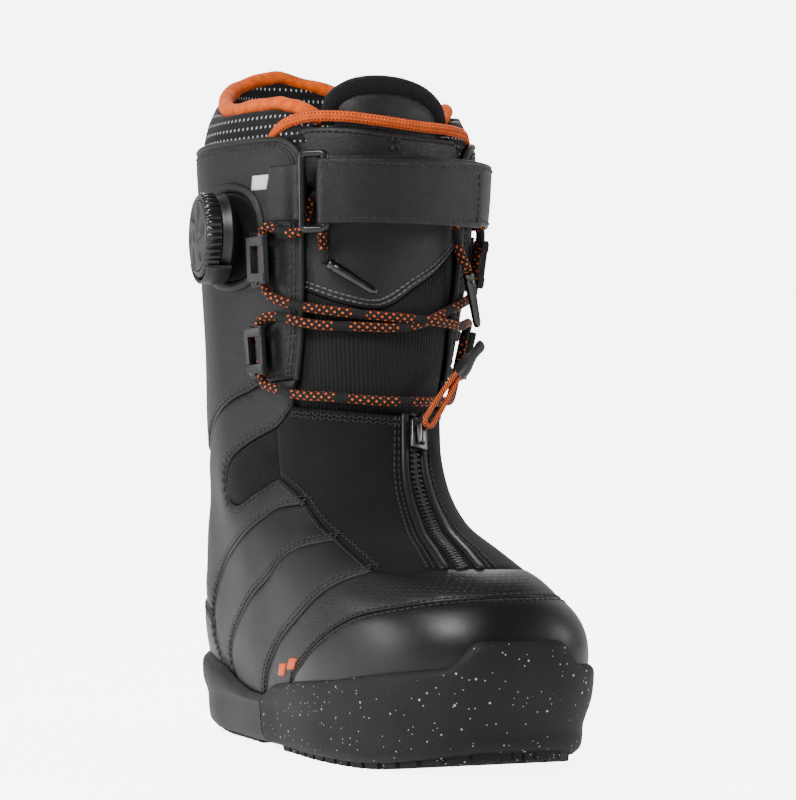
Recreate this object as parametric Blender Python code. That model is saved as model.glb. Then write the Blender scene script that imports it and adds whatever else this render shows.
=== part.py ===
"""Snowboard boot for the right foot, as an assembly of separate pieces.

Units are metres and +Z is up. The toe points to -Y and the outer side of the boot to -X.
The boot's skin is one lofted surface, read by skin(s, u): s counts the section rows, from 0 at the
feather line to 12 at the liner's top, and u runs from 0 on the toe and shin line round the outer
side to 1 at the back, or round the inner side to -1 at the back. A sewn piece is an outline on the
skin with a thickness. The sole, the liner and the hardware are built on the same skin.
"""
import math

import bmesh
import bpy
import numpy as np
from mathutils import Matrix, Vector
from mathutils.geometry import delaunay_2d_cdt

MM = 0.001
ORIGIN_SHIFT = np.array([3.1, 1.55, 0.0]) * MM   # puts the origin under the middle of the boot's box

# Section rows of the skin, in mm: front point (y, z), back point (y, z), half widths on the outer side
# and on the inner side (ball, waist, heel), bluntness of the front and of the back, toe swing in x.
SECTIONS = np.array([
    (-134, 22, 136, 22, 54, 48, 42, 50, 42, 40, 3.2, 4.0, 6),
    (-143, 44, 141, 42, 59, 54, 47, 54, 48, 44, 3.0, 4.2, 7),
    (-142, 64, 143, 62, 59, 55, 49, 53, 50, 46, 2.8, 4.2, 7),
    (-127, 82, 142, 82, 58, 55, 49, 44, 49, 47, 2.2, 4.0, 6),
    (-94, 95, 140, 100, 53, 54, 49, 37, 48, 47, 2.05, 3.8, 4),
    (-61, 106, 137, 118, 48, 54, 49, 36, 48, 47, 2.05, 3.4, 2),
    (-36, 124, 135, 136, 46, 54, 50, 37, 48, 47, 2.1, 3.2, 1),
    (-22, 150, 133, 160, 47, 55, 52, 41, 51, 48, 2.1, 3.0, 0),
    (-16, 190, 132, 192, 50, 57, 54, 52, 57, 52, 2.2, 2.7, 0),
    (-16, 230, 134, 230, 53, 59, 57, 61, 64, 57, 2.2, 2.5, 0),
    (-17, 265, 137, 265, 55, 60, 58, 65, 68, 60, 2.2, 2.4, 0),
    (-18, 292, 140, 292, 56, 61, 59, 66, 69, 61, 2.2, 2.4, 0),
    (-20, 332, 143, 332, 57, 61, 59, 66, 69, 61, 2.2, 2.4, 0),
], float)
TOP_ROW = len(SECTIONS) - 1
OUTLINE_STEPS = 161           # samples along half a section, for its arc length
U_SPAN = 200 * MM             # rough length of u = 1, for laying outlines out flat
S_SPAN = 24 * MM              # rough height of s = 1

SEAM_GAP = 0.4 * MM           # between two pieces that meet at a seam
LEATHER = 2.2 * MM            # shell pieces lie between the skin and this depth
TONGUE_TOP, TONGUE_BACK = -3.4 * MM, -6.2 * MM
HARNESS_TOP, HARNESS_BACK = -3.5 * MM, -5.6 * MM
LINER_TOP = -7.4 * MM
LINER_BACK_LOW, LINER_BACK_HIGH = -12.0 * MM, -14.0 * MM
PANEL_PITCH = 12 * MM         # spacing of points inside a panel
EDGE_PITCH = 9 * MM           # spacing of points along a seam
BOTTOM = 0.02                 # s of the shell's lower edge

LACE_RADIUS = 2.25 * MM
RING_BAR = 1.9 * MM
STRAP = 1.6 * MM
DIAL_RADIUS = 20.4 * MM


# ---- the skin -------------------------------------------------------------------------------------

def ease(x):
    x = np.clip(x, 0, 1)
    return x * x * (3 - 2 * x)


def section(s):
    """The section row at height s: a Catmull-Rom blend of the rows around it."""
    s = np.clip(s, 0, TOP_ROW - 1e-9)
    i = np.floor(s).astype(int)
    t = (s - i)[..., None]
    p0, p1 = SECTIONS[np.maximum(i - 1, 0)], SECTIONS[i]
    p2, p3 = SECTIONS[np.minimum(i + 1, TOP_ROW)], SECTIONS[np.minimum(i + 2, TOP_ROW)]
    return 0.5 * (2 * p1 + (p2 - p0) * t + (2 * p0 - 5 * p1 + 4 * p2 - p3) * t * t
                  + (3 * p1 - p0 - 3 * p2 + p3) * t ** 3)


def half_outline(rows, side):
    """Points along one side of each section, front to back; side is 1 outside and -1 inside."""
    front_y, front_z, back_y, back_z = (rows[:, k:k + 1] for k in range(4))
    ball, waist, heel = (rows[:, k:k + 1] for k in ((4, 5, 6) if side > 0 else (7, 8, 9)))
    blunt_front, blunt_back, swing = (rows[:, k:k + 1] for k in (10, 11, 12))
    q = np.linspace(0, 1, OUTLINE_STEPS)
    angle = math.pi * (q - 0.9 * np.sin(2 * math.pi * q) / (2 * math.pi))
    cosine, sine = np.cos(angle), np.sin(angle)
    cosine[-1], sine[-1] = -1, 0
    power = blunt_front + (blunt_back - blunt_front) * (1 - cosine) / 2
    along = (1 - np.sign(cosine) * np.abs(cosine) ** (2 / power)) / 2
    fore = ball + (waist - ball) * ease((along - 0.28) / 0.27)
    width = np.where(along < 0.55, fore, waist + (heel - waist) * ease((along - 0.55) / 0.27))
    x = -side * width * np.abs(sine) ** (2 / power) + swing * np.clip(1 - along / 0.45, 0, 1) ** 1.5
    y = front_y + (back_y - front_y) * along
    z = front_z + (back_z - front_z) * along
    return np.stack([x, y, z], -1) * MM


def wrap(u):
    return (np.asarray(u, float) + 1) % 2 - 1


def surface(s, u):
    """Points of the skin, without the origin shift."""
    s, u = np.broadcast_arrays(np.asarray(s, float), wrap(u))
    shape, s, u = s.shape, s.ravel(), u.ravel()
    out = np.zeros((len(s), 3))
    for side in (1, -1):
        chosen = np.nonzero((u >= 0) if side > 0 else (u < 0))[0]
        if not len(chosen):
            continue
        line = half_outline(section(s[chosen]), side)
        steps = np.linalg.norm(np.diff(line, axis=1), axis=2)
        length = np.concatenate([np.zeros((len(chosen), 1)), np.cumsum(steps, 1)], 1)
        length /= length[:, -1:]
        share = np.abs(u[chosen])
        j = np.clip((length < share[:, None]).sum(1), 1, OUTLINE_STEPS - 1)
        r = np.arange(len(chosen))
        t = (share - length[r, j - 1]) / np.maximum(length[r, j] - length[r, j - 1], 1e-12)
        out[chosen] = line[r, j - 1] * (1 - t[:, None]) + line[r, j] * t[:, None]
    return out.reshape(shape + (3,))


def normals(s, u):
    """Outward unit normals of the skin."""
    s = np.asarray(s, float)
    du, ds = 0.01, 0.05
    across = surface(s, u + du) - surface(s, u - du)
    up = surface(np.clip(s + ds, 0, TOP_ROW), u) - surface(np.clip(s - ds, 0, TOP_ROW), u)
    n = np.cross(up, across)
    return n / np.linalg.norm(n, axis=-1, keepdims=True)


def skin(s, u, lift=0.0):
    """Points at a height lift above the skin, in the part's frame."""
    s, u = np.broadcast_arrays(np.asarray(s, float), np.asarray(u, float))
    lift = np.asarray(lift, float)
    return surface(s, u) + normals(s, u) * (lift[..., None] if lift.ndim else lift) + ORIGIN_SHIFT


def local_frame(s, u, lift=0.0):
    """A matrix at a skin point: x towards the shin line, y up along the skin, z outwards."""
    out = Vector(normals(s, u)).normalized()
    side = 1 if u > 0 else -1
    up = Vector(surface(s + 0.1, u) - surface(s - 0.1, u))
    up = (up - up.dot(out) * out).normalized()
    forward = up.cross(out)
    matrix = Matrix((forward * side, up * side, out)).transposed().to_4x4()
    if side < 0:
        matrix = Matrix((-forward, up, out)).transposed().to_4x4()
    matrix.translation = Vector(skin(s, u, lift))
    return matrix


# ---- outlines on the skin ---------------------------------------------------------------------------

def smooth_line(points, pitch=EDGE_PITCH):
    """Points (s, u) on a Catmull-Rom curve through the given ones, about pitch apart."""
    p = np.array(points, float)
    line = [p[0]]
    for i in range(len(p) - 1):
        before = p[i - 1] if i else 2 * p[0] - p[1]
        after = p[i + 2] if i + 2 < len(p) else 2 * p[-1] - p[-2]
        size = math.hypot((p[i + 1][0] - p[i][0]) * S_SPAN, (p[i + 1][1] - p[i][1]) * U_SPAN)
        count = max(1, round(size / pitch))
        for k in range(1, count + 1):
            t = k / count
            line.append(0.5 * (2 * p[i] + (p[i + 1] - before) * t
                               + (2 * before - 5 * p[i] + 4 * p[i + 1] - after) * t * t
                               + (3 * p[i] - before - 3 * p[i + 1] + after) * t ** 3))
    return [tuple(q) for q in line]


def straight(a, b, pitch=EDGE_PITCH):
    size = math.hypot((b[0] - a[0]) * S_SPAN, (b[1] - a[1]) * U_SPAN)
    count = max(1, round(size / pitch))
    return [tuple(np.array(a) + (np.array(b) - np.array(a)) * k / count) for k in range(count + 1)]


def mirrored(line):
    return [(s, -u) for s, u in line]


def back(line):
    return list(reversed(line))


def loop(*lines):
    """One closed outline from lines laid end to end."""
    points = []
    for line in lines:
        for q in line:
            if not points or math.dist(points[-1], q) > 1e-6:
                points.append(tuple(q))
    if math.dist(points[0], points[-1]) < 1e-6:
        points.pop()
    return points


def inside(points, polygon):
    """Which points lie in the polygon."""
    x, y = points[:, 0], points[:, 1]
    result = np.zeros(len(points), bool)
    for (x0, y0), (x1, y1) in zip(polygon, np.roll(polygon, -1, axis=0)):
        if y0 != y1:
            crossing = (y0 > y) != (y1 > y)
            result ^= crossing & (x < (x1 - x0) * (y - y0) / (y1 - y0) + x0)
    return result


def clearance(points, polygon):
    """Distance from each point to the polygon's edge."""
    best = np.full(len(points), np.inf)
    for a, b in zip(polygon, np.roll(polygon, -1, axis=0)):
        edge = b - a
        t = np.clip(((points - a) @ edge) / max(edge @ edge, 1e-18), 0, 1)
        best = np.minimum(best, np.linalg.norm(points - a - t[:, None] * edge, axis=1))
    return best


# ---- making objects ----------------------------------------------------------------------------------

def material(name, colour, roughness, metallic=0.0):
    found = bpy.data.materials.get(name)
    if found:
        return found
    made = bpy.data.materials.new(name)
    made.use_nodes = True
    shader = made.node_tree.nodes["Principled BSDF"]
    shader.inputs["Base Color"].default_value = (*colour, 1)
    shader.inputs["Roughness"].default_value = roughness
    shader.inputs["Metallic"].default_value = metallic
    return made


def leather():
    return material("leather", (0.045, 0.043, 0.045), 0.5)


def gloss():
    return material("gloss_synthetic", (0.02, 0.02, 0.022), 0.25)


def softshell():
    return material("softshell", (0.008, 0.008, 0.009), 0.9)


def textile():
    return material("ribbed_textile", (0.012, 0.012, 0.013), 0.85)


def rubber():
    return material("speckled_rubber", (0.03, 0.03, 0.034), 0.7)


def foam():
    return material("midsole_foam", (0.05, 0.05, 0.055), 0.5)


def plastic():
    return material("black_plastic", (0.01, 0.01, 0.011), 0.3)


def grey_plastic():
    return material("grey_plastic", (0.07, 0.07, 0.075), 0.35)


def orange():
    return material("orange_plush", (0.85, 0.16, 0.02), 0.9)


def metal():
    return material("dark_metal", (0.2, 0.19, 0.19), 0.3, 1.0)


def board():
    return material("board", (0.3, 0.25, 0.2), 0.8)


def make(name, verts, faces, finish, pivot=None):
    """A named object from a closed mesh; pivot moves its origin onto its joint's axis."""
    mesh = bpy.data.meshes.new(name)
    place = Vector(pivot) if pivot is not None else Vector((0, 0, 0))
    mesh.from_pydata([Vector(v) - place for v in verts], [], [tuple(f) for f in faces])
    work = bmesh.new()
    work.from_mesh(mesh)
    bmesh.ops.recalc_face_normals(work, faces=work.faces)
    work.to_mesh(mesh)
    work.free()
    mesh.materials.append(finish)
    mesh.shade_smooth()
    mesh.set_sharp_from_angle(angle=math.radians(35))
    made = bpy.data.objects.new(name, mesh)
    made.location = place
    bpy.context.scene.collection.objects.link(made)
    return made


def sheet_piece(name, outline, top, bottom, finish, pitch=PANEL_PITCH, hole=None):
    """A closed sheet over an outline on the skin, between the lifts top and bottom.

    top and bottom are lifts in metres, or functions of s and u. Its edge stands back by half a seam gap.
    """
    loops = [np.array(outline)] + ([np.array(hole)] if hole else [])
    flats = [ring[:, ::-1] * (U_SPAN, S_SPAN) for ring in loops]
    low, high = flats[0].min(0), flats[0].max(0)
    grid = np.array([(x + (row % 2) * pitch / 2, y)
                     for row, y in enumerate(np.arange(low[1] + pitch / 2, high[1], pitch * 0.87))
                     for x in np.arange(low[0] + pitch / 4, high[0], pitch)]).reshape(-1, 2)
    keep = inside(grid, flats[0]) & (clearance(grid, flats[0]) > pitch * 0.5)
    if hole:
        keep &= ~inside(grid, flats[1]) & (clearance(grid, flats[1]) > pitch * 0.5)
    points = np.concatenate(flats + [grid[keep]])
    edges, start = [], 0
    for ring in flats:
        count = len(ring)
        edges += [(start + k, start + (k + 1) % count) for k in range(count)]
        start += count
    verts, _, triangles, *_ = delaunay_2d_cdt([Vector(p) for p in points], edges, [], 0, 1e-9)
    verts = np.array([tuple(v) for v in verts])
    triangles = np.array([tuple(t) for t in triangles])
    middles = verts[triangles].mean(1)
    keep = inside(middles, flats[0])
    if hole:
        keep &= ~inside(middles, flats[1])
    triangles = triangles[keep]
    s, u = verts[:, 1] / S_SPAN, verts[:, 0] / U_SPAN
    base, out = surface(s, u) + ORIGIN_SHIFT, normals(s, u)
    edge_step = {}
    for a, b, c in triangles:
        for p, q in ((a, b), (b, c), (c, a)):
            edge_step[(p, q)] = True
    rim = {p: q for p, q in edge_step if (q, p) not in edge_step}
    came_from = {q: p for p, q in rim.items()}
    moved = base.copy()
    for p, q in rim.items():
        before, after = base[p] - base[came_from[p]], base[q] - base[p]
        ins = [np.cross(edge / np.linalg.norm(edge), out[p]) for edge in (before, after)]
        inward = ins[0] + ins[1]
        size = max(np.linalg.norm(inward), 0.6)
        moved[p] = base[p] + inward / size * (SEAM_GAP / 2) / max(size / 2, 0.4)
    lifts = [level(s, u) if callable(level) else np.full(len(s), level) for level in (top, bottom)]
    upper = moved + out * lifts[0][:, None]
    lower = moved + out * lifts[1][:, None]
    count = len(verts)
    faces = [(a, b, c) for a, b, c in triangles]
    faces += [(a + count, c + count, b + count) for a, b, c in triangles]
    faces += [(q, p, p + count, q + count) for p, q in rim.items()]
    used = sorted({k for face in faces for k in face})
    place = {k: i for i, k in enumerate(used)}
    both = np.concatenate([upper, lower])
    return make(name, both[used], [[place[k] for k in face] for face in faces], finish)


def triangulated(piece):
    """Splits a piece's twisted quads, so that every copy of it has the same facets."""
    work = bmesh.new()
    work.from_mesh(piece.data)
    bmesh.ops.triangulate(work, faces=work.faces)
    work.to_mesh(piece.data)
    work.free()


def bridged(rings, closed_loop=False, cap=True):
    """Vertices and quads through rings of equal length; caps are fans round a middle point."""
    rings = [np.asarray(ring, float) for ring in rings]
    n = len(rings[0])
    verts = [v for ring in rings for v in ring]
    pairs = len(rings) if closed_loop else len(rings) - 1
    faces = []
    for r in range(pairs):
        a, b = r * n, ((r + 1) % len(rings)) * n
        faces += [(a + k, a + (k + 1) % n, b + (k + 1) % n, b + k) for k in range(n)]
    if cap and not closed_loop:
        for start, ring, flip in ((0, rings[0], True), ((len(rings) - 1) * n, rings[-1], False)):
            verts.append(ring.mean(0))
            tip = len(verts) - 1
            for k in range(n):
                a, b = start + k, start + (k + 1) % n
                faces.append((b, a, tip) if flip else (a, b, tip))
    return verts, faces


def swept(path, across, closed=False, up=None):
    """Rings of a flat section carried along a path; across lists (side, out) offsets.

    up gives the direction of 'out' at each path point; without it the section turns as little as it can.
    """
    path = np.asarray(path, float)
    count = len(path)
    rings, last = [], None
    for k in range(count):
        ahead = path[(k + 1) % count] if closed or k + 1 < count else path[k]
        behind = path[k - 1] if closed or k else path[k]
        along = (ahead - behind) / np.linalg.norm(ahead - behind)
        guide = np.asarray(up[k]) if up is not None else last
        if guide is None:
            guide = np.array([0.0, 0.0, 1.0]) if abs(along[2]) < 0.8 else np.array([0.0, 1.0, 0.0])
        out = guide - guide @ along * along
        out /= np.linalg.norm(out)
        last = out
        side = np.cross(along, out)
        rings.append([path[k] + a * side + b * out for a, b in across])
    return rings


def round_section(radius, sides=8):
    turns = [2 * math.pi * k / sides for k in range(sides)]
    return [(radius * math.cos(t), radius * math.sin(t)) for t in turns]


def oblong(width, height):
    return [(-width / 2, -height / 2), (width / 2, -height / 2), (width / 2, height / 2), (-width / 2, height / 2)]


def turned(name, profile, matrix, finish, segments=32, knurl=None):
    """A turned piece from a closed profile of (radius, height) points; radius 0 is a pole."""
    verts, rings = [], []
    for index, (radius, height) in enumerate(profile):
        if radius == 0:
            verts.append(matrix @ Vector((0, 0, height)))
            rings.append([len(verts) - 1] * segments)
            continue
        ring = []
        for k in range(segments):
            angle = 2 * math.pi * k / segments
            reach = radius + (knurl[1] * (k % 2) if knurl and index in knurl[0] else 0)
            verts.append(matrix @ Vector((reach * math.cos(angle), reach * math.sin(angle), height)))
            ring.append(len(verts) - 1)
        rings.append(ring)
    faces = []
    joined = len(rings) if profile[0][0] != 0 else len(rings) - 1
    for r in range(joined):
        low, high = rings[r], rings[(r + 1) % len(rings)]
        for k in range(segments):
            m = (k + 1) % segments
            face = []
            for v in (low[k], low[m], high[m], high[k]):
                if v not in face:
                    face.append(v)
            faces.append(face)
    made = make(name, verts, faces, finish, matrix.translation)
    return made


def block(low, high):
    """Vertices and faces of a box between two corners."""
    corners = [(x, y, z) for x in (low[0], high[0]) for y in (low[1], high[1]) for z in (low[2], high[2])]
    return corners, [(0, 1, 3, 2), (4, 6, 7, 5), (0, 4, 5, 1), (2, 3, 7, 6), (0, 2, 6, 4), (1, 5, 7, 3)]


def union(target, other):
    """Joins a second object into the first one's solid and removes it."""
    boolean = target.modifiers.new("join", "BOOLEAN")
    boolean.operation, boolean.solver, boolean.object = "UNION", "EXACT", other
    evaluated = target.evaluated_get(bpy.context.evaluated_depsgraph_get())
    mesh = bpy.data.meshes.new_from_object(evaluated)
    target.modifiers.remove(boolean)
    target.data = mesh
    bpy.data.objects.remove(other)


# ---- seams -------------------------------------------------------------------------------------------

GAITER_TOP_CORNER = (7.27, 0.255)
CUFF_CORNER = (7.60, 0.238)
WINDOW_TOP = (6.95, 0.32)
WINDOW_LOW = (6.0, 0.337)
STAY_EDGE = 0.935                 # u where the back stay begins
STAY_CUFF = (5.75, STAY_EDGE)
STAY_HEEL = (2.32, STAY_EDGE)

WINDOW_ABOVE = smooth_line([WINDOW_TOP, (6.73, 0.397), (6.51, 0.455), (6.29, 0.50), (5.96, 0.542),
                            (5.53, 0.566), (5.16, 0.56)])
WINDOW_BELOW = smooth_line([(5.16, 0.56), (5.10, 0.525), (5.28, 0.477), (5.53, 0.435), (5.93, 0.355),
                            WINDOW_LOW])
WINDOW_FRONT = straight(WINDOW_LOW, WINDOW_TOP)
CUFF_FRONT_LOW = smooth_line([WINDOW_TOP, (7.05, 0.295), GAITER_TOP_CORNER])
CUFF_FRONT_MID = smooth_line([GAITER_TOP_CORNER, (7.42, 0.252), CUFF_CORNER])
CUFF_FRONT = smooth_line([CUFF_CORNER, (8.18, 0.22), (9.13, 0.213), (10.3, 0.21), (10.6, 0.22),
                          (10.80, 0.255), (10.84, 0.315)])
CUFF_TOP = smooth_line([(10.84, 0.315), (10.84, 0.5), (10.82, 0.7), (10.86, STAY_EDGE)])
CUFF_SEAM = smooth_line([CUFF_CORNER, (7.53, 0.347), (7.42, 0.403), (7.31, 0.46), (7.16, 0.515),
                         (6.91, 0.60), (6.55, 0.695), (6.15, 0.80), STAY_CUFF])
INSTEP_A = smooth_line([WINDOW_LOW, (5.72, 0.288), (5.45, 0.262)])
INSTEP_B = smooth_line([(5.45, 0.262), (5.02, 0.247), (4.42, 0.218)])
INSTEP_C = smooth_line([(4.42, 0.218), (3.93, 0.203), (3.40, 0.187)])
HEEL_SEAM_TOP = smooth_line([(5.45, 0.262), (5.20, 0.365), (4.76, 0.438), (3.96, 0.568), (3.35, 0.68),
                             (2.87, 0.74), (2.33, 0.775), (1.82, 0.79)])
HEEL_SEAM_LOW = smooth_line([(1.82, 0.79), (1.38, 0.79), (0.80, 0.775), (BOTTOM, 0.765)])
MID_SEAM = smooth_line([(4.42, 0.218), (4.0, 0.33), (3.53, 0.415), (3.02, 0.48), (2.47, 0.565),
                        (1.93, 0.633), (1.35, 0.695), (0.76, 0.73), (BOTTOM, 0.735)])
FORE_SEAM = smooth_line([(3.40, 0.187), (3.02, 0.262), (2.62, 0.323), (2.07, 0.397), (1.56, 0.465),
                         (0.98, 0.52), (0.5, 0.56), (BOTTOM, 0.585)])
TOE_SEAM = smooth_line([(BOTTOM, 0.47), (0.69, 0.44), (1.13, 0.39), (1.60, 0.338), (1.96, 0.29),
                        (2.25, 0.235), (2.47, 0.165), (2.65, 0.088), (2.72, 0.0), (2.65, -0.088),
                        (2.47, -0.165), (2.25, -0.235), (1.96, -0.29), (1.60, -0.338), (1.13, -0.39),
                        (0.69, -0.44), (BOTTOM, -0.47)])
COUNTER_TOP = smooth_line([(1.82, 0.79), (2.12, 0.84), (2.27, 0.89), STAY_HEEL])
STAY_SIDE = straight(STAY_HEEL, STAY_CUFF)
STAY_UPPER = straight(STAY_CUFF, (10.86, STAY_EDGE))
TONGUE_ARC = smooth_line([(8.75, 0.33), (8.62, 0.218), (8.47, 0.123), (8.40, 0.042), (8.47, -0.007),
                          (8.65, -0.062), (8.84, -0.127), (8.98, -0.165), (9.3, -0.25), (9.6, -0.33)])

# The zip's line down the instep, lateral to medial as it drops, and the edges of the two gaiter halves.
ZIP_LINE = smooth_line([(7.20, -0.045), (6.7, -0.0315), (6.2, -0.0165), (5.2, 0.0055), (4.4, 0.027),
                        (3.52, 0.045)])
ZIP_HALF = 0.022                  # half the chain's width, in u


def zip_edge(sign):
    return [(s, u + sign * ZIP_HALF) for s, u in ZIP_LINE]


GAITER_FOOT_LATERAL = smooth_line([(3.40, 0.187), (3.33, 0.155), (3.36, 0.12), (3.46, 0.09), zip_edge(1)[-1]])
GAITER_FOOT_MEDIAL = smooth_line([(3.40, -0.187), (3.36, -0.13), (3.45, -0.07), (3.50, -0.02), zip_edge(-1)[-1]])


# ---- shell -------------------------------------------------------------------------------------------

def side_panels():
    """The sewn pieces that both sides have; the inner side mirrors the outer one."""
    for side, flip in (("lateral", list), ("medial", mirrored)):
        pieces = {
            "cuff": (loop(CUFF_FRONT, CUFF_TOP, back(STAY_UPPER), back(CUFF_SEAM)), leather()),
            "ankle_panel": (loop(CUFF_SEAM, back(STAY_SIDE), back(COUNTER_TOP), back(HEEL_SEAM_TOP),
                                 back(INSTEP_A), back(WINDOW_BELOW), back(WINDOW_ABOVE), CUFF_FRONT_LOW,
                                 CUFF_FRONT_MID), leather()),
            "stretch_window": (loop(WINDOW_ABOVE, WINDOW_BELOW, WINDOW_FRONT), textile()),
            "quarter_rear": (loop(HEEL_SEAM_TOP, HEEL_SEAM_LOW, straight((BOTTOM, 0.765), (BOTTOM, 0.735)),
                                  back(MID_SEAM), back(INSTEP_B)), leather()),
            "quarter_fore": (loop(MID_SEAM, straight((BOTTOM, 0.735), (BOTTOM, 0.585)), back(FORE_SEAM),
                                  back(INSTEP_C)), leather()),
        }
        for piece, (outline, finish) in pieces.items():
            sheet_piece(f"{piece}_{side}", flip(outline), 0, -LEATHER, finish)


def instep_and_toe():
    sheet_piece("toe_cap", loop(TOE_SEAM, straight((BOTTOM, -0.47), (BOTTOM, 0.47))), 0, -LEATHER, gloss())
    vamp = loop(FORE_SEAM, straight((BOTTOM, 0.585), (BOTTOM, 0.47)), TOE_SEAM,
                straight((BOTTOM, -0.47), (BOTTOM, -0.585)), back(mirrored(FORE_SEAM)), GAITER_FOOT_MEDIAL,
                back(GAITER_FOOT_LATERAL))
    sheet_piece("vamp", vamp, 0, -LEATHER, leather())
    for side, sign in (("lateral", 1), ("medial", -1)):
        flip = list if sign > 0 else mirrored
        edge = zip_edge(sign)
        below = GAITER_FOOT_LATERAL if sign > 0 else GAITER_FOOT_MEDIAL
        high, corner = edge[0], (GAITER_TOP_CORNER[0], sign * GAITER_TOP_CORNER[1])
        above = smooth_line([high, (7.24, (high[1] + corner[1]) / 2), corner])
        outline = loop(below, back(edge), above, back(flip(CUFF_FRONT_LOW)), back(flip(WINDOW_FRONT)),
                       flip(INSTEP_A), flip(INSTEP_B), flip(INSTEP_C))
        sheet_piece(f"gaiter_{side}", outline, -0.4 * MM, -LEATHER, softshell())


def heel_and_stay():
    counter = loop(back(HEEL_SEAM_LOW), COUNTER_TOP, straight(STAY_HEEL, (2.32, 2 - STAY_EDGE)),
                   [(s, 2 - u) for s, u in back(COUNTER_TOP)], [(s, 2 - u) for s, u in HEEL_SEAM_LOW],
                   straight((BOTTOM, 2 - 0.765), (BOTTOM, 0.765)))
    sheet_piece("heel_counter", counter, 0, -LEATHER, gloss())
    stay = loop(STAY_SIDE, STAY_UPPER, straight((10.86, STAY_EDGE), (10.86, 2 - STAY_EDGE)),
                [(s, 2 - u) for s, u in back(STAY_UPPER)], [(s, 2 - u) for s, u in back(STAY_SIDE)],
                straight((2.32, 2 - STAY_EDGE), STAY_HEEL))
    sheet_piece("back_stay", stay, 0, -LEATHER, leather())


def tongue():
    """The shell's tongue behind the cuffs and the gaiter: textile below, leather above, bound on top."""
    foot, rim, edge = 4.3, 11.15, 0.33
    lower = loop(TONGUE_ARC, straight(TONGUE_ARC[-1], (foot, -edge)), straight((foot, -edge), (foot, edge)),
                 straight((foot, edge), TONGUE_ARC[0]))
    sheet_piece("tongue_textile", lower, TONGUE_TOP, TONGUE_BACK, textile())
    rim_line = smooth_line([(10.5, edge), (10.95, 0.27), (rim, 0.18), (rim + 0.07, 0), (rim, -0.18),
                            (10.95, -0.27), (10.5, -edge)])
    upper = loop(rim_line, straight((10.5, -edge), TONGUE_ARC[-1]), back(TONGUE_ARC),
                 straight(TONGUE_ARC[0], (10.5, edge)))
    sheet_piece("tongue_leather", upper, TONGUE_TOP, TONGUE_BACK, leather())
    s, u = np.array(rim_line[1:-1]).T
    path = skin(s + 0.14, u, (TONGUE_TOP + TONGUE_BACK) / 2 + 0.5 * MM)
    rings = swept(path, round_section(2.4 * MM, 6), up=normals(s, u))
    make("tongue_binding", *bridged(rings), orange())


# ---- sole --------------------------------------------------------------------------------------------

RAND_INSIDE = 1.0 * MM        # the rand's inner face stands off the shell
FLOOR_Z = 21.6 * MM           # top of the sole inside the rand
TREAD = 3.0 * MM              # depth of the lugs
TOE_SPRING = 9.5 * MM
SPLIT_U = 0.573               # where the front outsole meets the heel midsole


def rand_height(u):
    """s of the sole's upper edge: low at the waist, higher at the ball and heel, a bumper on the toe."""
    a = np.abs(wrap(u))
    line = np.interp(a, [0.0, 0.10, 0.20, 0.30, 0.42, 0.52, 0.58, 0.64, 0.71, 0.77, 0.85, 1.0],
                     [1.15, 1.15, 0.98, 0.78, 0.65, 0.5, 0.24, 0.26, 0.42, 0.68, 0.87, 0.95])
    return line + 0.55 * ease((0.095 - np.abs(wrap(u) - 0.015)) / 0.045)


def sole_flare(u):
    """How far the sole stands out from the skin."""
    a = np.abs(wrap(u))
    outer = np.interp(a, [0, 0.3, 0.6, 0.8, 1], [6.0, 4.5, 4.6, 8.0, 7.0])
    inner = np.interp(a, [0, 0.3, 0.6, 0.8, 1], [6.0, 4.0, 4.2, 7.0, 7.0])
    return np.where(wrap(u) >= 0, outer, inner) * MM


def ground(y):
    """Height of the tread's underside: toe spring in front, a small bevel behind."""
    return TOE_SPRING * np.clip((-y - 72 * MM) / (76 * MM), 0, 1.2) ** 2 \
        + 2.5 * MM * np.clip((y - 118 * MM) / (30 * MM), 0, 1) ** 2


def rand_rows(u):
    """Outer and inner points of the sole's wall at u, from its upper edge down."""
    top, flare = rand_height(u), sole_flare(u)
    outer = [skin(top, u, RAND_INSIDE + 1.3 * MM)]
    outer += [skin(top * share, u, flare * out) for share, out in ((0.88, 0.72), (0.5, 1.0), (0.0, 1.0))]
    edge = outer[-1]
    out = normals(0 * top, u) * (1, 1, 0)
    low = ground(edge[:, 1])
    for drop, pull in ((0.55, 0.5 * MM), (0.22, 1.6 * MM), (0.0, 5.0 * MM)):
        row = edge - out * pull
        row[:, 2] = low + TREAD + (edge[:, 2] - low - TREAD) * drop
        outer.append(row)
    inner = [skin(top * share, u, RAND_INSIDE) for share in np.linspace(1, 0, len(outer))]
    inner[-1][:, 2] = FLOOR_Z
    return np.array(outer), np.array(inner)


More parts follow.
